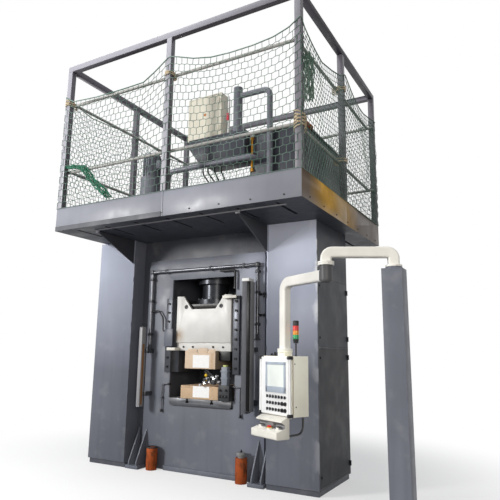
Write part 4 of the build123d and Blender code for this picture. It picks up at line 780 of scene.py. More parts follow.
loop_route = [(-loop_x, pipe_axis, loop_left_end), (-loop_x, pipe_axis, loop_top),
              (loop_x, pipe_axis, loop_top), (loop_x, pipe_axis, loop_right_end)]
pipes("bent_pipe_loop", [loop_route], loop_radius, loop_bend, pipe_chrome, "press_frame",
      ("pipe_loop",), 20)
clamp_steel = paint("dark clamp steel", (0.05, 0.053, 0.062), 0.38, 0.2, 0.2, 6.0)[0]
form = bmesh.new()
clip_half, clip_reach = 0.020, 0.030
clip_front, clip_back = -0.398, -0.331
across_clips = [(share * 2 - 1) * loop_x for share in (0.15, 0.58, 0.88)]
for x in across_clips:
    add_block(form, (x - clip_half, clip_front, loop_top - clip_reach),
              (x + clip_half, clip_back, loop_top + clip_reach), 0.010)
for side, end in ((-1, loop_left_end), (1, loop_right_end)):
    for share in (0.15, 0.6, 0.9):
        z = end + share * (loop_top - end)
        add_block(form, (side * loop_x - clip_reach, clip_front, z - clip_half),
                  (side * loop_x + clip_reach, clip_back, z + clip_half), 0.010)
    nut = [(0, -0.050), (0.024, -0.050), (0.030, -0.044), (0.030, -0.012), (0.026, -0.008), (0.026, 0.014),
           (0, 0.014)]
    add_lathe(form, nut, (side * loop_x, pipe_axis, end), up, 6)
    add_block(form, (side * loop_x - 0.032, -0.402, end - 0.064),
              (side * loop_x + 0.032, clip_back, end - 0.046), 0.006)
for side in (-1, 1):
    add_block(form, (side * drain_x - 0.013, -0.367, 0.940),
              (side * drain_x + 0.013, clip_back, 0.966), 0.004)
    add_block(form, (side * loop_x - elbow_half, pipe_axis - elbow_half, loop_top - elbow_half),
              (side * loop_x + elbow_half, pipe_axis + elbow_half, loop_top + elbow_half), 0.016, 3)
shaped("pipe_clips", form, "press_frame", clamp_steel, ("pipe_clamps",))

# Drain, branch and feed lines: thin bent tubes that serve the cylinder and the gibs.
# They run flat along the plate from tee pieces on the loop and on the gibs.
thin_axis = -0.354
drains = [[(side * 0.515, thin_axis, drain_top), (side * drain_x, thin_axis, drain_top),
           (side * drain_x, thin_axis, 0.765)] for side in (-1, 1)]
feed = [(-0.868, pipe_axis, 2.158), (-0.745, pipe_axis, 2.175), (-0.665, pipe_axis, 2.07),
        (-0.655, pipe_axis, 1.878), (-0.600, pipe_axis, 1.878)]
branch = [(0.300, pipe_axis, 2.735), (0.300, pipe_axis, 2.690), (0.540, pipe_axis, 2.690),
          (0.540, pipe_axis, 2.470)]
pipes("drain_lines", drains, 0.009, 0.030, pipe_chrome, "press_frame", ("oil_pipes",), 12)
pipes("feed_line", [feed], 0.010, 0.025, screw_black, sides=12)
pipes("branch_line", [branch], 0.015, 0.020, screw_black, sides=14)
form = bmesh.new()
fitting = [(0, 0), (0.020, 0), (0.020, 0.018), (0.014, 0.022), (0.014, 0.040), (0, 0.040)]
for place, facing in (((-0.890, pipe_axis, 2.158), (1, 0, 0)), ((-0.600, pipe_axis, 1.878), (-1, 0, 0)),
                      ((0.540, pipe_axis, 2.436), up), ((-drain_x, thin_axis, 0.760), up),
                      ((drain_x, thin_axis, 0.760), up), ((-0.500, thin_axis, drain_top), (-1, 0, 0)),
                      ((0.500, thin_axis, drain_top), (1, 0, 0))):
    add_lathe(form, fitting, place, facing, 6)
shaped("line_fittings", form, "press_frame", screw_black)

# Side valves: two small black fittings in the gap between the right pipe and the right column.
# Each is a turned brass body blackened with oil, screwed to the plate edge.
form = bmesh.new()
for z, reach in ((2.344, 0.115), (2.071, 0.085)):
    body_profile = [(0, 0), (0.017, 0), (0.017, 0.03), (0.010, 0.034), (0.010, 0.060), (0.022, 0.062),
                    (0.022, 0.076), (0.012, 0.080), (0.012, reach), (0, reach)]
    add_lathe(form, body_profile, (0.912, pipe_axis + 0.01, z), (1, 0, 0), 10)
valve_stem = [(0, 0), (0.014, 0), (0.014, 0.05), (0, 0.052)]
add_lathe(form, valve_stem, (0.985, pipe_axis + 0.01, 2.300), up, 10)
shaped("side_valves", form, "press_frame", screw_black)

# Light-curtain posts: extruded aluminium housings on angle brackets, with a dark lens down one side.
# The left lens shows orange behind its cover; the right post has a white end cap.
post_grey = paint("grey post enamel", (0.085, 0.088, 0.102), 0.5, 0.2, 0.2)[0]
post_pale = paint("pale post enamel", (0.26, 0.26, 0.275), 0.4, 0.15, 0.15)[0]
lens_dark = paint("dark lens", (0.006, 0.006, 0.007), 0.30, 0.0, 0.05, 8.0, dull_shine)[0]
lens_amber = paint("amber lens", (0.24, 0.115, 0.045), 0.30, 0.2, 0.2, 8.0)[0]
cap_white = paint("white end cap", (0.82, 0.82, 0.82), 0.4, 0.0, 0.06, 8.0)[0]
bracket_high, bracket_screw = 0.06, [(0, 0), (0.009, 0), (0.009, 0.007), (0, 0.008)]


def light_post(name, left, right, front_y, back_y, low, high, finish, brackets, replaced):
    """A light-curtain post with its end caps, and the black brackets that hold it to the plate."""
    form = bmesh.new()
    add_block(form, (left, front_y, low + 0.012), (right, back_y, high - 0.012), 0.008)
    for z0, z1 in ((low, low + 0.014), (high - 0.014, high)):
        add_block(form, (left + 0.002, front_y + 0.002, z0), (right - 0.002, back_y - 0.002, z1), 0.004)
    shaped(name, form, "press_frame", finish, (replaced,))
    form = bmesh.new()
    for rise in brackets:
        x0, x1 = left - 0.004, right + 0.050
        top = rise + bracket_high
        add_block(form, (x0, back_y - 0.020, rise), (x1, back_y + 0.008, top), 0.003)
        add_block(form, (x1 - 0.014, back_y, rise), (x1, plate_front, top), 0.003)
        add_block(form, (x0, plate_front - 0.010, rise), (x1, plate_front, top), 0.003)
        for x in (x0 + 0.02, x1 - 0.03):
            add_lathe(form, bracket_screw, (x, plate_front - 0.010, rise + bracket_high / 2), front, 6)
    shaped(f"{name}_brackets", form, "press_frame", clamp_steel)


light_post("left_light", -0.950, -0.893, -0.540, -0.450, 0.822, 1.932, post_pale,
           (0.968, 1.564), "left_light_post")
light_post("right_light", 0.7595, 0.8345, -0.555, -0.425, 0.841, 2.524, post_grey,
           (0.931, 1.597), "right_light_post")
one_block("left_light_lens", (-0.899, -0.520, 0.850),
           (-0.8885, -0.484, 1.690), 0.002, lens_amber)
one_block("right_light_lens", (0.8345, -0.558, 0.871),
           (0.882, -0.547, 2.494), 0.002, lens_dark)
one_block("right_light_rail", (0.834, -0.547, 0.865), (0.886, -0.440, 2.498), 0.004, post_pale)
one_block("right_light_cap", (0.754, -0.560, 2.500),
           (0.862, -0.420, 2.540), 0.006, cap_white)

# Die sprayer: a grey-blue valve column on a dark base, with a green-yellow cap and two lances.
# Black valves and plated unions stand on its manifold, beside a yellow hand knob.
sprayer_blue = paint("sprayer enamel", (0.19, 0.21, 0.25), 0.4, 0.2, 0.2, 6.0)[0]
sprayer_dark = paint("sprayer base", (0.030, 0.031, 0.035), 0.45, 0.2, 0.25, 8.0)[0]
form = bmesh.new()
add_block(form, (0.372, -0.408, 1.160), (0.463, -0.332, 1.398), 0.006)
add_block(form, (0.362, -0.412, 1.240), (0.473, -0.328, 1.262), 0.004)
add_block(form, (0.362, -0.412, 1.330), (0.473, -0.328, 1.350), 0.004)
shaped("sprayer_column", form, "press_frame", sprayer_blue, ("die_sprayer",))
form = bmesh.new()
add_block(form, (0.335, -0.410, 0.960), (0.500, -0.290, 1.165), 0.006)
for x, z in ((0.365, 1.02), (0.41, 1.02), (0.455, 1.02), (0.365, 1.10), (0.455, 1.10)):
    add_lathe(form, [(0, 0), (0.016, 0), (0.016, 0.016), (0.011, 0.020), (0.011, 0.034), (0, 0.036)],
              (x, -0.410, z), front, 10)
lance_start, lance_length, lance_angle = Vector((0.400, -0.392, 1.130)), 0.36, math.radians(146)
lance_way = Vector((math.cos(lance_angle), 0, math.sin(lance_angle)))
for lift in (0.0, 0.034):
    foot = lance_start + Vector((0, 0, lift))
    lance = [(0, 0), (0.009, 0), (0.009, lance_length - 0.03), (0.006, lance_length), (0, lance_length)]
    add_lathe(form, lance, foot, lance_way, 10)
    for share in (0.25, 0.5, 0.75):
        add_lathe(form, [(0, 0), (0.014, 0.002), (0.014, 0.024), (0, 0.026)],
                  foot + lance_way * lance_length * share, lance_way, 8)
for x, z, size in ((0.18, 1.20, 0.05), (0.25, 1.165, 0.06), (0.30, 1.215, 0.045), (0.11, 1.21, 0.035)):
    add_block(form, (x - size / 2, -0.418, z), (x + size / 2, -0.377, z + size), 0.006)
add_block(form, (0.10, -0.402, 1.185), (0.375, -0.380, 1.205), 0.004)
shaped("sprayer_base", form, "press_frame", sprayer_dark)
bright_steel = mottled("bright plated steel", (40, 4.0), (0.4, 0.6), (0.24, 0.24, 0.25), (0.50, 0.50, 0.51),
                       0.3, 0.2, 0.001, 0.7)
union = [(0, 0), (0.013, 0), (0.013, 0.014), (0.008, 0.016), (0.008, 0.034), (0.014, 0.036),
         (0.014, 0.050), (0, 0.050)]
form = bmesh.new()
for x, z, facing in ((0.075, 1.190, (1, 0, 0.3)), (0.130, 1.170, (0, -1, 0.2)), (0.165, 1.245, (0, -1, 0)),
                     (0.205, 1.180, (0, -1, 0.4)), (0.235, 1.265, (0.2, -1, 0)), (0.275, 1.235, (0, -1, 0.2)),
                     (0.315, 1.275, (0, -1, 0)), (0.335, 1.205, (0.3, -1, 0)), (0.055, 1.155, (0, -1, 0))):
    add_lathe(form, union, (x, -0.394, z), facing, 8)
shaped("sprayer_unions", form, "press_frame", bright_steel)
cap_green = paint("green-yellow cap", (0.55, 0.60, 0.22), 0.4, 0.0, 0.05, 12.0)[0]
one_block("sprayer_cap", (0.392, -0.400, 1.397), (0.443, -0.342, 1.421), 0.007, cap_green)
knob_yellow = paint("yellow knob", (0.72, 0.46, 0.02), 0.35, 0.0, 0.05, 12.0)[0]
form = bmesh.new()
add_lathe(form, [(0, 0), (0.012, 0.002), (0.021, 0.014), (0.021, 0.026), (0.014, 0.034), (0, 0.036)],
          (0.129, -0.380, 1.282), front, 16)
add_lathe(form, [(0, 0), (0.006, 0), (0.006, 0.08), (0, 0.08)], (0.129, -0.390, 1.20), up, 10)
shaped("sprayer_knob", form, "press_frame", knob_yellow)

# Floor jacks: steel cans in orange paint that has rusted through in patches.
# The right plunger stands proud under a grey domed cap with a nipple; the left rim is dark.
rust = (0.13, 0.040, 0.016)
jack_orange = (0.33, 0.072, 0.020)
jack_paint, tree, surface, tone = paint("rusty orange paint", jack_orange, 0.6, 0.5, 0.06, 6.0, dull_shine)
rusted = levels(tree, clouds(tree, 14.0, 9.0, (1, 1, 0.7)), 0.5, 0.62)
colour_by(tree, surface, rusted, tone, rust)
roughen(tree, surface, rusted, 0.4, 0.002)
softened("left_jack_body", "press_frame", jack_paint, 0.003)
softened("right_jack_body", "press_frame", jack_paint, 0.003)
dull_steel = paint("dull jack steel", (0.20, 0.20, 0.20), 0.4, 0.2, 0.3, 9.0)[0]
dress(("right_jack_plunger",), dull_steel)
rim = [(0.062, 0), (0.079, 0.0), (0.079, 0.010), (0.074, 0.016), (0.062, 0.016), (0.062, 0.0)]
one_turned("left_jack_rim", rim, (-0.710, -0.430, 0.286), up, 32, "press_frame", screw_black)
one_turned("jack_nipple", [(0, 0), (0.012, 0), (0.012, 0.016), (0.007, 0.020), (0.007, 0.034), (0, 0.036)],
           (0.710, -0.430, 0.363), up, 12, "jack_plunger", screw_black)

# Fascia: folded sheet round the platform in light lavender-grey satin paint, screwed on along its foot.
# A darker kick strip covers the left front sheet's lower edge, and a bar runs under the soffit.
fascia_grey = (0.215, 0.222, 0.258)
# Colours of a painted reflection, warm gold and brown, on the fascia's right side.
reflected_gold, reflected_brown = (0.62, 0.36, 0.07), (0.13, 0.10, 0.08)
deck_low, deck_left, deck_right, deck_front, deck_rear = 3.219, -1.715, 2.032, -1.524, 1.439
fascia_paint, tree, surface, tone = paint("light fascia paint", fascia_grey, 0.36, 0.12, 0.15, 0.8)
# Painted reflection: the fascia's right side face carries a warm gold reflection, browner towards its front
# and rear ends.
reflection_side = levels(tree, along(tree, "X"), deck_right - 0.006, deck_right - 0.002)
cloudy_reflection = mix(tree, levels(tree, clouds(tree, 2.2), 0.35, 0.6), shade(reflected_gold, 0.55), reflected_gold)
warm_reflection = mix(tree, levels(tree, along(tree, "Y"), -1.35, -0.95), reflected_brown, cloudy_reflection)
warm_reflection = mix(tree, levels(tree, along(tree, "Y"), -0.15, 0.45), warm_reflection, reflected_brown)
colour_by(tree, surface, reflection_side, tone, warm_reflection)
softened("fascia_panels", "press_frame", fascia_paint, 0.0015)
screw_rise, screw_gap, head_radius = 0.046, 0.400, 0.009


def row_of(low, high):
    """Evenly spaced places near a wanted gap, between two ends."""
    count = max(2, round((high - low) / screw_gap))
    return [low + (high - low) * (i + 0.5) / count for i in range(count)]


facings = {
    "front": ((0, -1, 0), [(x, deck_front, deck_low + screw_rise) for x in row_of(deck_left, deck_right)]),
    "rear": ((0, 1, 0), [(x, deck_rear, deck_low + screw_rise) for x in row_of(deck_left, deck_right)]),
    "left": ((-1, 0, 0), [(deck_left, y, deck_low + screw_rise) for y in row_of(deck_front, deck_rear)]),
    "right": ((1, 0, 0), [(deck_right, y, deck_low + screw_rise) for y in row_of(deck_front, deck_rear)]),
}
for label, (facing, places) in facings.items():
    sunk_places = [tuple(Vector(place) + Vector(facing) * 0.003) for place in places]
    screws(f"fascia_screws_{label}", sunk_places, head_radius, 0.010, facing, screw_black, "press_frame",
           ("fascia_bolts",) if label == "front" else (), 12)
kick_paint = paint("dark fascia strip", (0.070, 0.073, 0.086), 0.5, 0.2, 0.1)[0]
one_block("kick_strip", (deck_left + 0.004, deck_front - 0.009, deck_low - 0.002),
          (0.150, deck_front + 0.001, deck_low + 0.062), 0.001, kick_paint, 1)
bar_paint = paint("bright bar paint", (0.34, 0.34, 0.37), 0.36, 0.1, 0.1)[0]
form = bmesh.new()
add_block(form, (-1.13, -1.350, deck_low - 0.010), (1.76, -1.322, deck_low), 0.003)
for side in (-1, 1):
    add_block(form, (side * 1.120 - 0.030, -1.322, deck_low - 0.028),
              (side * 1.120 + 0.030, -1.300, deck_low), 0.003)
shaped("soffit_bar", form, "press_frame", bar_paint)
one_block("fascia_joint", (0.152, deck_front - 0.004, deck_low + 0.002),
           (0.174, deck_front, deck_low + 0.325), 0.0015, fascia_paint)

# Cage: square steel posts and top rails in the same family of grey, with round guard rails inside.
# The tube is mitred and welded, then painted with the cage in place.
cage_paint, tree, surface, tone = paint("cage paint", (0.115, 0.108, 0.128), 0.40, 0.15, 0.10, 1.5)
# Painted light: the cage's front faces are painted lighter towards the left side.
lit_front_left = times(tree, levels(tree, along(tree, "X"), 0.2, 1.9, 1.0, 0.25),
                   levels(tree, along(tree, "Y"), -1.522, -1.516, 1.0, 0.0))
colour_by(tree, surface, lit_front_left, tone, (0.31, 0.305, 0.345))
for node in ("cage_posts", "cage_top_rails"):
    softened(node, "press_frame", cage_paint, 0.004)
rail_paint = paint("guard rail paint", (0.33, 0.325, 0.31), 0.42, 0.3, 0.35, 5.0)[0]
dress(("guard_rails",), rail_paint)

# Safety nets: knotted green twine round the cage, hung on a border rope that is tied at the posts.
# Each is netted by hand in six-sided meshes, and sags between its ties.
twine, tree, surface = shader("green net twine")
ply = clouds(tree, 160, 3.0)
faded = levels(tree, clouds(tree, 1.6, 4.0), 0.35, 0.65)
tone = mix(tree, faded, (0.055, 0.125, 0.085), (0.20, 0.27, 0.235))
colour_by(tree, surface, levels(tree, ply, 0.45, 0.7, 0, 0.5), tone, (0.025, 0.05, 0.038))
surface.inputs["Roughness"].default_value = 0.8
roughen(tree, surface, ply, 0.4, 0.0015)
mesh_width, mesh_height = 0.090, 0.085
twine_radius, knot_radius, rope_radius = 0.0034, 0.0058, 0.0075
zigzag, billow = 0.005, 0.028
net_foot, deck_top = 3.540, 3.548

net_tree, given = node_tree("knotted net", twine="Float", knot="Float")
cords = step(net_tree, "GeometryNodeMeshToCurve", Mesh=given["Geometry"])
ring = step(net_tree, "GeometryNodeCurvePrimitiveCircle", Resolution=5, Radius=given["twine"])
strands = step(net_tree, "GeometryNodeCurveToMesh", Curve=cords, Profile_Curve=ring, Fill_Caps=True)
lump = step(net_tree, "GeometryNodeMeshIcoSphere", Radius=given["knot"], Subdivisions=1)
knots = step(net_tree, "GeometryNodeInstanceOnPoints", Points=given["Geometry"], Instance=lump)
joined = net_tree.nodes.new("GeometryNodeJoinGeometry")
net_tree.links.new(strands, joined.inputs[0])
net_tree.links.new(knots, joined.inputs[0])
close(net_tree, joined.outputs[0], given)


def net_top(share, hang):
    """The height of the hanging edge at a share of the net's length, between the points it hangs by."""
    for (s0, z0), (s1, z1) in zip(hang, hang[1:]):
        if share <= s1:
            return z0 + (z1 - z0) * (share - s0) / (s1 - s0)
    return hang[-1][1]


def hang_net(name, start, end, outward, hang, replaced, finer):
    """A net from one corner to the next: meshes, knots and its border rope."""
    start, end, outward = Vector(start), Vector(end), Vector(outward)
    halves = 2 * round((end - start).length / (mesh_width * finer))
    first, last = hang[0][0], hang[-1][0]
    hang = [((along_net - first) / (last - first), deck_top + height) for along_net, height in hang]
    rows = round((min(height for share, height in hang) - net_foot) / (mesh_height * finer))

    def knot_place(i, k):
        share = i / halves
        top = net_top(share, hang)
        lift = k / rows
        place = start + (end - start) * share
        kink = zigzag if (i + k) % 2 == 0 else -zigzag
        loose = 0 < k < rows
        place.z = net_foot + (top - net_foot) * lift + (kink if loose else 0)
        belly = math.sin(math.pi * lift) * math.sin(math.pi * share * 2) ** 2
        place += outward * (0.004 + billow * belly * (0.6 + noise.noise(place * 1.3)))
        if loose:
            place += noise.noise_vector(place * 5) * 0.010
        return tuple(place)

    order = {}
    points = []
    for k in range(rows + 1):
        for i in range(halves + 1):
            order[i, k] = len(points)
            points.append(knot_place(i, k))
    edges = [(order[i, k], order[i + 1, k]) for k in range(rows + 1) for i in range(halves)]
    edges += [(order[i, k], order[i, k + 1])
              for k in range(rows) for i in range(halves + 1) if (i + k) % 2 == 0]
    seed = bpy.data.meshes.new(name)
    seed.from_pydata(points, edges, [])
    mesh = grow(name, seed, net_tree, twine, twine=twine_radius, knot=knot_radius)
    new_piece(name, mesh, "press_frame", None, (replaced,))
    border = [points[order[i, rows]] for i in range(halves + 1)]
    rope_name = f"{name}_rope"
    rope = grow(rope_name, lines(rope_name, [border]), pipe_tree, twine, radius=rope_radius, sides=8)
    new_piece(rope_name, rope, "press_frame")


front_hang = [(deck_left, 1.690), (-1.56, 1.590), (-1.10, 1.552), (-0.60, 1.549), (-0.243, 1.556),
              (-0.044, 1.665), (0.178, 1.815), (0.290, 1.779), (0.558, 1.680), (0.834, 1.617), (1.10, 1.600),
              (1.42, 1.603), (1.69, 1.630), (1.887, 1.690), (deck_right, 1.790)]
right_hang = [(deck_front, 1.790), (-1.43, 1.710), (-1.335, 1.668), (-1.213, 1.622), (-1.086, 1.587),
              (-0.89, 1.545), (-0.53, 1.618), (-0.212, 1.706), (-0.02, 1.820), (0.10, 1.770), (0.243, 1.700),
              (0.40, 1.640), (0.60, 1.600), (0.80, 1.592), (1.10, 1.645), (1.30, 1.690), (deck_rear, 1.709)]
rear_hang = [(deck_right, 1.709), (1.70, 1.640), (1.20, 1.600), (0.60, 1.660), (0.16, 1.790), (-0.30, 1.660),
             (-0.90, 1.590), (-1.40, 1.610), (deck_left, 1.650)]
left_hang = [(deck_rear, 1.650), (1.00, 1.580), (0.50, 1.620), (-0.06, 1.740), (-0.50, 1.620), (-1.00, 1.580),
             (deck_front, 1.690)]
finer_mesh = 0.75
nets = {
    "front": ((deck_left, deck_front, 0), (deck_right, deck_front, 0), (0, -1, 0), front_hang, 1.0),
    "right": ((deck_right, deck_front, 0), (deck_right, deck_rear, 0), (1, 0, 0), right_hang, finer_mesh),
    "rear": ((deck_right, deck_rear, 0), (deck_left, deck_rear, 0), (0, 1, 0), rear_hang, finer_mesh),
    "left": ((deck_left, deck_rear, 0), (deck_left, deck_front, 0), (-1, 0, 0), left_hang, finer_mesh),
}
for label, (start, end, outward, hang, finer) in nets.items():
    hang_net(f"knotted_{label}_net", start, end, outward, hang, f"{label}_net", finer)

# Lashings: beige cord wound round the posts where the guard rails cross them, drawn tight and knotted.
# Each is one cord laid in turns that cross, so that it bulges in the middle.
lash_beige = mottled("beige lashing cord", (120, 3.0), (0.4, 0.65), (0.62, 0.52, 0.36), (0.36, 0.28, 0.18),
                     0.85, 0.4, 0.0015)
upper_rail, mid_rail, turn_steps = 5.130, 4.096, 12


def lashing(middle, wide, deep, high, turns):
    """The route of a cord wound round a post, its turns slanting to and fro."""
    route = []
    for i in range(turns * turn_steps + 1):
        angle = 2 * math.pi * i / turn_steps
        rise = high * (i / (turns * turn_steps) - 0.5) + 0.35 * high * math.sin(angle * 0.5)
        route.append((middle[0] + wide * math.cos(angle), middle[1] + deep * math.sin(angle),
                      middle[2] + rise))
    return route


lash_routes = [lashing((-1.675, -1.455, upper_rail), 0.060, 0.095, 0.07, 5),
               lashing((0.160, -1.455, upper_rail), 0.060, 0.095, 0.05, 4),
               lashing((1.985, -1.450, mid_rail), 0.060, 0.098, 0.16, 8),
               lashing((1.960, -0.060, mid_rail), 0.095, 0.060, 0.05, 3),
               lashing((1.960, -0.060, upper_rail), 0.095, 0.060, 0.06, 4)]
pipes("rail_lashings", lash_routes, 0.007, 0.004, lash_beige, sides=6)

# Spare net: slack ends gathered in folds, one hung behind the right front post, one laid along the mid rail.
# Each is a bundle of cords that run side by side and wander a little.
spare_green = (0.025, 0.15, 0.085)
spare = mottled("green spare net", (60, 4.0), (0.4, 0.65), shade(spare_green, 1.5), shade(spare_green, 0.4),
                0.85, 0.4, 0.002)


def bundle(path, spread, count):
    """Cords that run side by side along a path, each wandering within the spread."""
    routes = []
    for i in range(count):
        angle = 2.4 * i
        reach = spread * math.sqrt((i + 0.5) / count)
        offset = Vector((reach * math.cos(angle), reach * math.cos(angle), reach * math.sin(angle)))
        route = []
        for (a, b) in zip(path, path[1:]):
            for k in range(5):
                place = Vector(a).lerp(Vector(b), k / 5) + offset
                route.append(tuple(place + noise.noise_vector(place * 9 + Vector((i, 0, 0))) * spread * 0.7))
        route.append(tuple(Vector(path[-1]) + offset))
        routes.append(route)
    return routes


hung = bundle([(1.930, -1.10, 5.11), (1.935, -1.08, 4.85), (1.925, -1.07, 4.56)], 0.055, 22)
laid = bundle([(-1.62, -1.475, 4.16), (-1.45, -1.475, 4.14), (-1.28, -1.475, 4.10)], 0.030, 14)
draped = bundle([(-1.30, -1.475, 4.10), (-1.12, -1.470, 3.90), (-0.92, -1.465, 3.72), (-0.82, -1.46, 3.62)],
                0.045, 16)
pipes("gathered_net", hung, 0.0065, 0.004, twine, sides=6)
pipes("spare_net", laid + draped, 0.0065, 0.004, spare, sides=6)

# Rail stub: a short rusty pipe end that is lashed to the front post beside the mid rail.
# It is cut from tube with its ends broken, and has rusted like the jacks.
one_turned("rail_stub", [(0, 0), (0.020, 0), (0.024, 0.006), (0.024, 0.214), (0.020, 0.220), (0, 0.220)],
           (1.990, -1.350, mid_rail + 0.05), (0, 1, 0.02), 16, "press_frame", jack_paint)

# Oil tank and valve block on the deck: welded and drilled steel in dark blue-grey enamel.
# Both keep their CAD form, with the edges broken under the paint.
tank_paint = paint("dark tank enamel", (0.042, 0.046, 0.060), 0.4, 0.3, 0.3)[0]
softened("oil_tank", "press_frame", tank_paint)
softened("valve_manifold", "press_frame", tank_paint)

# Power unit pipes and motor: grey enamel over tube and finned casting.
# They stand on the deck in front of the tank, bolted through their feet.
unit_grey = paint("unit grey enamel", (0.15, 0.156, 0.185), 0.36, 0.2, 0.3, 2.0)[0]
dress(("suction_pipe", "return_pipe", "pump_motor"), unit_grey)

# Level gauge: an amber sight tube between two blocks, under a white breather ball.
# The breather is turned plastic, screwed into the top block.
gauge_amber = paint("amber sight tube", (0.62, 0.30, 0.04), 0.22, 0.2, 0.1, 8.0)[0]
dress(("level_gauge",), gauge_amber)
ball = [(0, 0), (0.020, 0.004), (0.030, 0.016), (0.030, 0.034), (0.020, 0.046), (0, 0.050)]
one_turned("gauge_breather", ball, (1.085, -0.917, 4.292), up, 20, "press_frame", cap_white)

# Terminal cabinet: a beige sheet-metal box on the valve block, with a rusty spot on its door.
# The door is a folded sheet hung on the right-hand edge.
cabinet_beige = (0.66, 0.625, 0.53)
spot_place, spot_rust = (0.40, -1.005, 4.72), (0.36, 0.13, 0.02)
cabinet_paint, tree, surface, tone = paint("beige cabinet enamel", cabinet_beige, 0.42, 0.15, 0.12, 1.2)
spot = levels(tree, distance_from(tree, spot_place), 0.016, 0.026, 1.0, 0.0)
colour_by(tree, surface, spot, tone, spot_rust)
softened("control_cabinet", "press_frame", cabinet_paint, 0.003)
softened("cabinet_door", "cabinet_door_leaf", cabinet_paint, 0.003)

# Valve line beside the cabinet: a thin white tube with a red lever handle.
# The tube rises from the valve block; the handle is a moulded grip on its cock.
white_tube = paint("white tube enamel", (0.80, 0.80, 0.80), 0.4, 0.1, 0.1, 9.0)[0]
valve_route = [(0.768, -0.990, 4.370), (0.768, -0.990, 4.905)]
pipes("valve_line", [valve_route], 0.010, 0.02, white_tube, sides=12)
lever_red = paint("red lever", (0.55, 0.035, 0.06), 0.4, 0.0, 0.1, 12.0)[0]
one_block("valve_lever", (0.752, -1.018, 4.560), (0.784, -0.998, 4.660), 0.006, lever_red)

# Pilot lines: black steel tubes bent from the underside of the valve block down to the deck.
# Each is one tube with two bends, let into the block and the deck.
pilots = [[(x, -0.960, 4.060), (x, -0.985, 3.900), (x + drift, -0.985, 3.720), (x + drift, -0.985, 3.549)]
          for x, drift in ((0.38, 0.13), (0.46, 0.14), (0.56, 0.10), (0.66, 0.09))]
pipes("pilot_lines", pilots, 0.010, 0.045, screw_black, sides=10)

# Swing arms: cream-white square tube with cast elbows, turning on rings at the stand and the middle.
# They are powder coated, with the edges of the tube rounded.
arm_cream = (0.79, 0.775, 0.73)
arm_white = paint("arm powder coat", arm_cream, 0.42, 0.08, 0.08, 2.0)[0]
softened("swing_arm_inner", "inner_arm", arm_white)
sleeve_axis, sleeve_reach, sleeve_top = (2.295281, -1.549337, 0.0), 0.070, 2.455
sleeved, tree, surface, tone = paint("arm powder coat with sleeve", arm_cream, 0.42, 0.08, 0.08, 2.0)
from_axis = distance_from(tree, sleeve_axis, (1, 1, 0))
near_axis = levels(tree, from_axis, sleeve_reach, sleeve_reach + 0.002, 1.0, 0.0)
below_ring = levels(tree, along(tree, "Z"), sleeve_top, sleeve_top + 0.002, 1.0, 0.0)
colour_by(tree, surface, times(tree, near_axis, below_ring), tone, (0.075, 0.075, 0.080))
softened("swing_arm_outer", "outer_arm", sleeved)

# Pendant housing: a beige powder-coated box with a white front panel on a brown gasket.
# Three cable glands stand on its top. All of it is placed in the pendant's own frame, turned about its tube.
joint_place = {joint["name"]: joint.get("pos_m") for joint in frame["joints"]}
pendant_yaw = math.radians(-25.3)
pendant_spot = Vector((joint_place["pendant_swivel"][0], joint_place["pendant_swivel"][1], 0))
pendant_turn = Matrix.Translation(pendant_spot) @ Matrix.Rotation(pendant_yaw, 4, "Z")
box_beige = paint("pendant beige powder coat", (0.93, 0.885, 0.77), 0.45, 0.06, 0.06, 2.0)[0]
softened("pendant_box", "pendant", box_beige, 0.004)
panel_white = paint("panel powder coat", (0.82, 0.825, 0.83), 0.42, 0.05, 0.06, 3.0)[0]
form = bmesh.new()
panel_face = -0.149
add_block(form, (-0.230, panel_face, 0.960), (0.230, -0.109, 1.552), 0.010, 3, pendant_turn)
add_block(form, (-0.150, panel_face - 0.0025, 1.176), (0.203, panel_face + 0.004, 1.512), 0.003, 2,
          pendant_turn)
shaped("panel_front", form, "pendant", panel_white, ("pendant_panel",))
gasket_brown = paint("brown gasket rubber", (0.20, 0.115, 0.055), 0.6, 0.1, 0.1, 9.0)[0]
box_half, box_low, box_high = 0.256, 0.951, 1.561
gasket_front, gasket_back, gasket_half, gasket_edge = -0.1085, -0.1005, 0.0012, 0.0006
form = bmesh.new()
for x in (-box_half, box_half):
    add_block(form, (x - gasket_half, gasket_front, box_low), (x + gasket_half, gasket_back, box_high),
              gasket_edge, 1, pendant_turn)
for z in (box_low, box_high):
    add_block(form, (-box_half, gasket_front, z - gasket_half), (box_half, gasket_back, z + gasket_half),
              gasket_edge, 1, pendant_turn)
shaped("panel_gasket", form, "pendant", gasket_brown)
form = bmesh.new()
for x, y, rise in ((-0.160, -0.060, 0.030), (-0.122, -0.050, 0.044), (-0.086, -0.064, 0.034)):
    add_lathe(form, [(0, 0), (0.014, 0), (0.014, 0.012), (0.010, 0.014), (0.010, rise), (0, rise + 0.003)],
              (x, y, box_high - 0.001), (0.35, 0, 1), 10, pendant_turn)
shaped("pendant_glands", form, "pendant", screw_black)

# Touch screen: a blue-grey moulded bezel round a pale anti-glare panel.
# The bezel is clamped in the panel from behind.
bezel_grey = paint("screen bezel", (0.36, 0.41, 0.48), 0.4, 0.0, 0.08, 6.0)[0]
glass_pale, tree, surface = shader("pale screen")
sheen = clouds(tree, 4.0, 2.0)
colour_by(tree, surface, levels(tree, sheen, 0.35, 0.65), (0.70, 0.74, 0.72), (0.80, 0.84, 0.81))
surface.inputs["Roughness"].default_value = 0.18
roughen(tree, surface, clouds(tree, 200, 2.0), 0.05, 0.0005)
screen_x, screen_z, screen_front = (-0.142, 0.195), (1.187, 1.500), panel_face - 0.008
border, border_foot = 0.030, 0.060
form = bmesh.new()
bars = (((screen_x[0], screen_x[0] + border), screen_z), ((screen_x[1] - border, screen_x[1]), screen_z),
        (screen_x, (screen_z[1] - border, screen_z[1])), (screen_x, (screen_z[0], screen_z[0] + border_foot)))
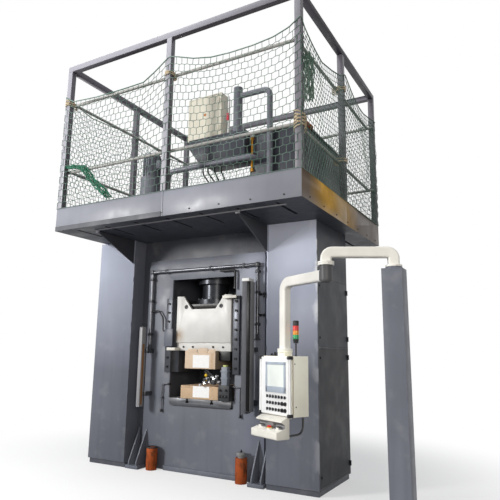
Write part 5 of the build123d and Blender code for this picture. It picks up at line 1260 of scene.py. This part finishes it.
for (x0, x1), (z0, z1) in bars:
    add_block(form, (x0, screen_front, z0), (x1, panel_face + 0.001, z1), 0.002, 2, pendant_turn)
shaped("screen_bezel", form, "pendant", bezel_grey, ("touch_screen",))
form = bmesh.new()
add_block(form, (screen_x[0] + 0.026, screen_front + 0.003, screen_z[0] + 0.056),
          (screen_x[1] - 0.026, panel_face + 0.001, screen_z[1] - 0.026), 0.001, 1, pendant_turn)
shaped("screen_glass", form, "pendant", glass_pale)

# Push buttons: three rows of seven under the screen, black caps with a grip in grey collars.
# The lower right ones are larger selector switches with a grip bar; two screws close the box's side.
collar_grey = paint("button collar", (0.30, 0.31, 0.33), 0.35, 0.0, 0.1, 12.0)[0]
button_face = tuple(pendant_turn.to_3x3() @ Vector(front))
columns, rows_z = 7, (1.145, 1.081, 1.015)
button_left, button_right = -0.108, 0.185
button_step = (button_right - button_left) / (columns - 1)
spots = [(button_left + button_step * i, z) for z in rows_z for i in range(columns)]
selectors = [spot for spot in spots if spot[0] > 0.12 and spot[1] < 1.1]
plain = [spot for spot in spots if spot not in selectors]


def on_panel(x, y, z):
    """A place in the pendant's frame, in the frame of the whole machine."""
    return tuple(pendant_turn @ Vector((x, y, z)))


box_side = tuple(pendant_turn.to_3x3() @ Vector((1, 0, 0)))
side_places = [on_panel(box_half, -0.080, 1.482), on_panel(box_half, -0.064, 1.053)]
collar_places = [on_panel(x, panel_face - 0.0015, z) for x, z in plain]
cap_places = [on_panel(x, panel_face - 0.005, z) for x, z in plain]
screws("box_side_screws", side_places, 0.0065, 0.005, box_side, screw_black, "pendant", (), 12)
screws("button_collars", collar_places, 0.0155, 0.006, button_face, collar_grey, "pendant")
screws("button_caps", cap_places, 0.0115, 0.014, button_face, screw_black, "pendant", (), 16)
form = bmesh.new()
for x, z in plain:
    add_block(form, (x - 0.0055, panel_face - 0.019, z - 0.017),
              (x + 0.0055, panel_face - 0.010, z + 0.017), 0.003, 2, pendant_turn)
shaped("button_grips", form, "pendant", screw_black)
form = bmesh.new()
selector_base = [(0, 0), (0.021, 0), (0.021, 0.006), (0.017, 0.010), (0, 0.011)]
for x, z in selectors:
    add_lathe(form, selector_base, (x, panel_face, z), front, 20, pendant_turn)
    add_block(form, (x - 0.006, panel_face - 0.022, z - 0.016),
              (x + 0.006, panel_face - 0.008, z + 0.016), 0.003, 2, pendant_turn)
shaped("selector_switches", form, "pendant", screw_black)

# Grab bars: white tubes down both sides of the panel, held in black corner mouldings.
# The tubes are powder coated like the panel, and the mouldings close over their ends.
grab_bar = [(0, 0.957), (0.014, 0.957), (0.014, 1.555), (0, 1.555)]
form = bmesh.new()
for side in (-1, 1):
    add_lathe(form, grab_bar, (side * 0.248, -0.138, 0), up, 20, pendant_turn)
shaped("grab_bars", form, "pendant", panel_white, ("pendant_handles",))
form = bmesh.new()
for side in (-1, 1):
    for z in (0.951, 1.527):
        x0, x1 = sorted((side * 0.2295, side * 0.266))
        add_block(form, (x0, -0.167, z), (x1, -0.109, z + 0.034), 0.008, 3, pendant_turn)
shaped("grab_bar_corners", form, "pendant", screw_black)

# Stack light: red, amber and green lenses between a black base and a black sounder cap.
# The lenses are ribbed mouldings that twist together on a thin pole.
beacon, beacon_sides = (0.151, 0.026, 0.0), 28
tiers = {"red": ((0.75, 0.030, 0.025), 1.828, 1.880), "amber": ((0.80, 0.30, 0.02), 1.785, 1.828),
         "green": ((0.02, 0.36, 0.12), 1.742, 1.785)}
for label, (colour, low, high) in tiers.items():
    lens_material, tree, surface = shader(f"{label} lens")
    ribs = bands(tree, 60)
    colour_by(tree, surface, ribs, shade(colour, 0.75), shade(colour, 1.1))
    surface.inputs["Roughness"].default_value = 0.2
    roughen(tree, surface, ribs, 0.3, 0.001)
    profile = [(0, low), (0.0315, low), (0.0325, low + 0.003), (0.0325, high - 0.003), (0.0315, high),
               (0, high)]
    one_turned(f"beacon_{label}", profile, beacon, up, beacon_sides, "pendant", lens_material,
               pendant_turn)
form = bmesh.new()
beacon_base = [(0, 1.561), (0.016, 1.561), (0.016, 1.566), (0.008, 1.570), (0.008, 1.695), (0.027, 1.697),
               (0.027, 1.716), (0.031, 1.722), (0.031, 1.742), (0, 1.742)]
sounder = [(0, 1.880), (0.031, 1.880), (0.0325, 1.884), (0.0325, 1.926), (0.026, 1.936), (0, 1.937)]
for profile in (beacon_base, sounder):
    add_lathe(form, profile, beacon, up, beacon_sides, pendant_turn)
shaped("beacon_housing", form, "pendant", screw_black, ("stack_light",))

# Two-hand console: a cream moulded desk under the pendant, with a hood over each start button.
# The start buttons are black domes; the red stop button sits in a yellow ring.
console_cream, tree, surface, tone = paint("console cream", (0.72, 0.70, 0.64), 0.42, 0.06, 0.08, 3.0)


def within(tree, axis, low, high):
    """1 where a place lies between two values along one axis of the pendant's frame."""
    heading = pendant_turn.to_3x3() @ Vector(axis)
    dot = tree.nodes.new("ShaderNodeVectorMath")
    dot.operation = "DOT_PRODUCT"
    tree.links.new(mapped(tree), dot.inputs[0])
    dot.inputs[1].default_value = heading
    base = pendant_spot.dot(heading)
    above = levels(tree, dot.outputs["Value"], base + low - 0.001, base + low + 0.001)
    below = levels(tree, dot.outputs["Value"], base + high - 0.001, base + high + 0.001, 1.0, 0.0)
    return times(tree, above, below)


# Painted shade: the pocket under each hood is painted grey.
pocket_shade = times(tree, within(tree, (1, 0, 0), -0.213, 0.213), within(tree, (0, 1, 0), -0.224, -0.1705))
pocket_shade = times(tree, pocket_shade, within(tree, up, 0.836, 0.904))
colour_by(tree, surface, pocket_shade, tone, (0.21, 0.21, 0.215))
softened("two_hand_console", "pendant", console_cream, 0.004)
start_black = paint("start button black", (0.02, 0.02, 0.022), 0.35, 0.0, 0.1, 12.0)[0]
dress(("left_start_button", "right_start_button"), start_black)
stop_red = paint("stop button red", (0.62, 0.020, 0.022), 0.3, 0.0, 0.04, 12.0)[0]
dress(("estop_button",), stop_red)
stop_ring = [(0.0225, 0.8438), (0.034, 0.8438), (0.034, 0.8465), (0.031, 0.8478), (0.0225, 0.8478),
             (0.0225, 0.8438)]
one_turned("estop_ring", stop_ring, (0.032, -0.235, 0), up, 28, "pendant", knob_yellow,
           pendant_turn)

# Flexible conduit: black corrugated hose from the pendant box round to the back of the console.
# It is seen from end to end, and hangs in one open bend between its two fittings.
conduit_route = ((0.188, 0.086, 0.951), (0.188, 0.086, 0.855), (0.187, 0.076, 0.806), (0.186, 0.048, 0.778),
                 (0.185, 0.006, 0.767), (0.185, -0.118, 0.767))
conduit_radius, conduit_length = 0.011, 0.351
hose_black, tree, surface = shader("black hose rubber")
rings = bands(tree, 50)
colour_by(tree, surface, rings, (0.010, 0.010, 0.011), (0.030, 0.030, 0.032))
surface.inputs["Roughness"].default_value = 0.5
roughen(tree, surface, rings, 0.4, 0.001)
conduit_curve = bpy.data.curves.new("conduit", "CURVE")
conduit_curve.dimensions = "3D"
spline = conduit_curve.splines.new("NURBS")
spline.points.add(len(conduit_route) - 1)
for point, place in zip(spline.points, conduit_route):
    point.co = (*on_panel(*place), 1)
spline.order_u = 3
spline.use_endpoint_u = True
spline.resolution_u = 12
conduit_curve.bevel_depth = conduit_radius
conduit_curve.bevel_resolution = 4
conduit_curve.use_fill_caps = True
conduit = bpy.data.objects.new("conduit", conduit_curve)
scene.collection.objects.link(conduit)
conduit_curve.materials.append(hose_black)
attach(conduit, "pendant")
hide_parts("pendant_conduit")

size = {"cad": [list(cad_low), list(cad_high)], "visual": [list(corner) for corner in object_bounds()]}
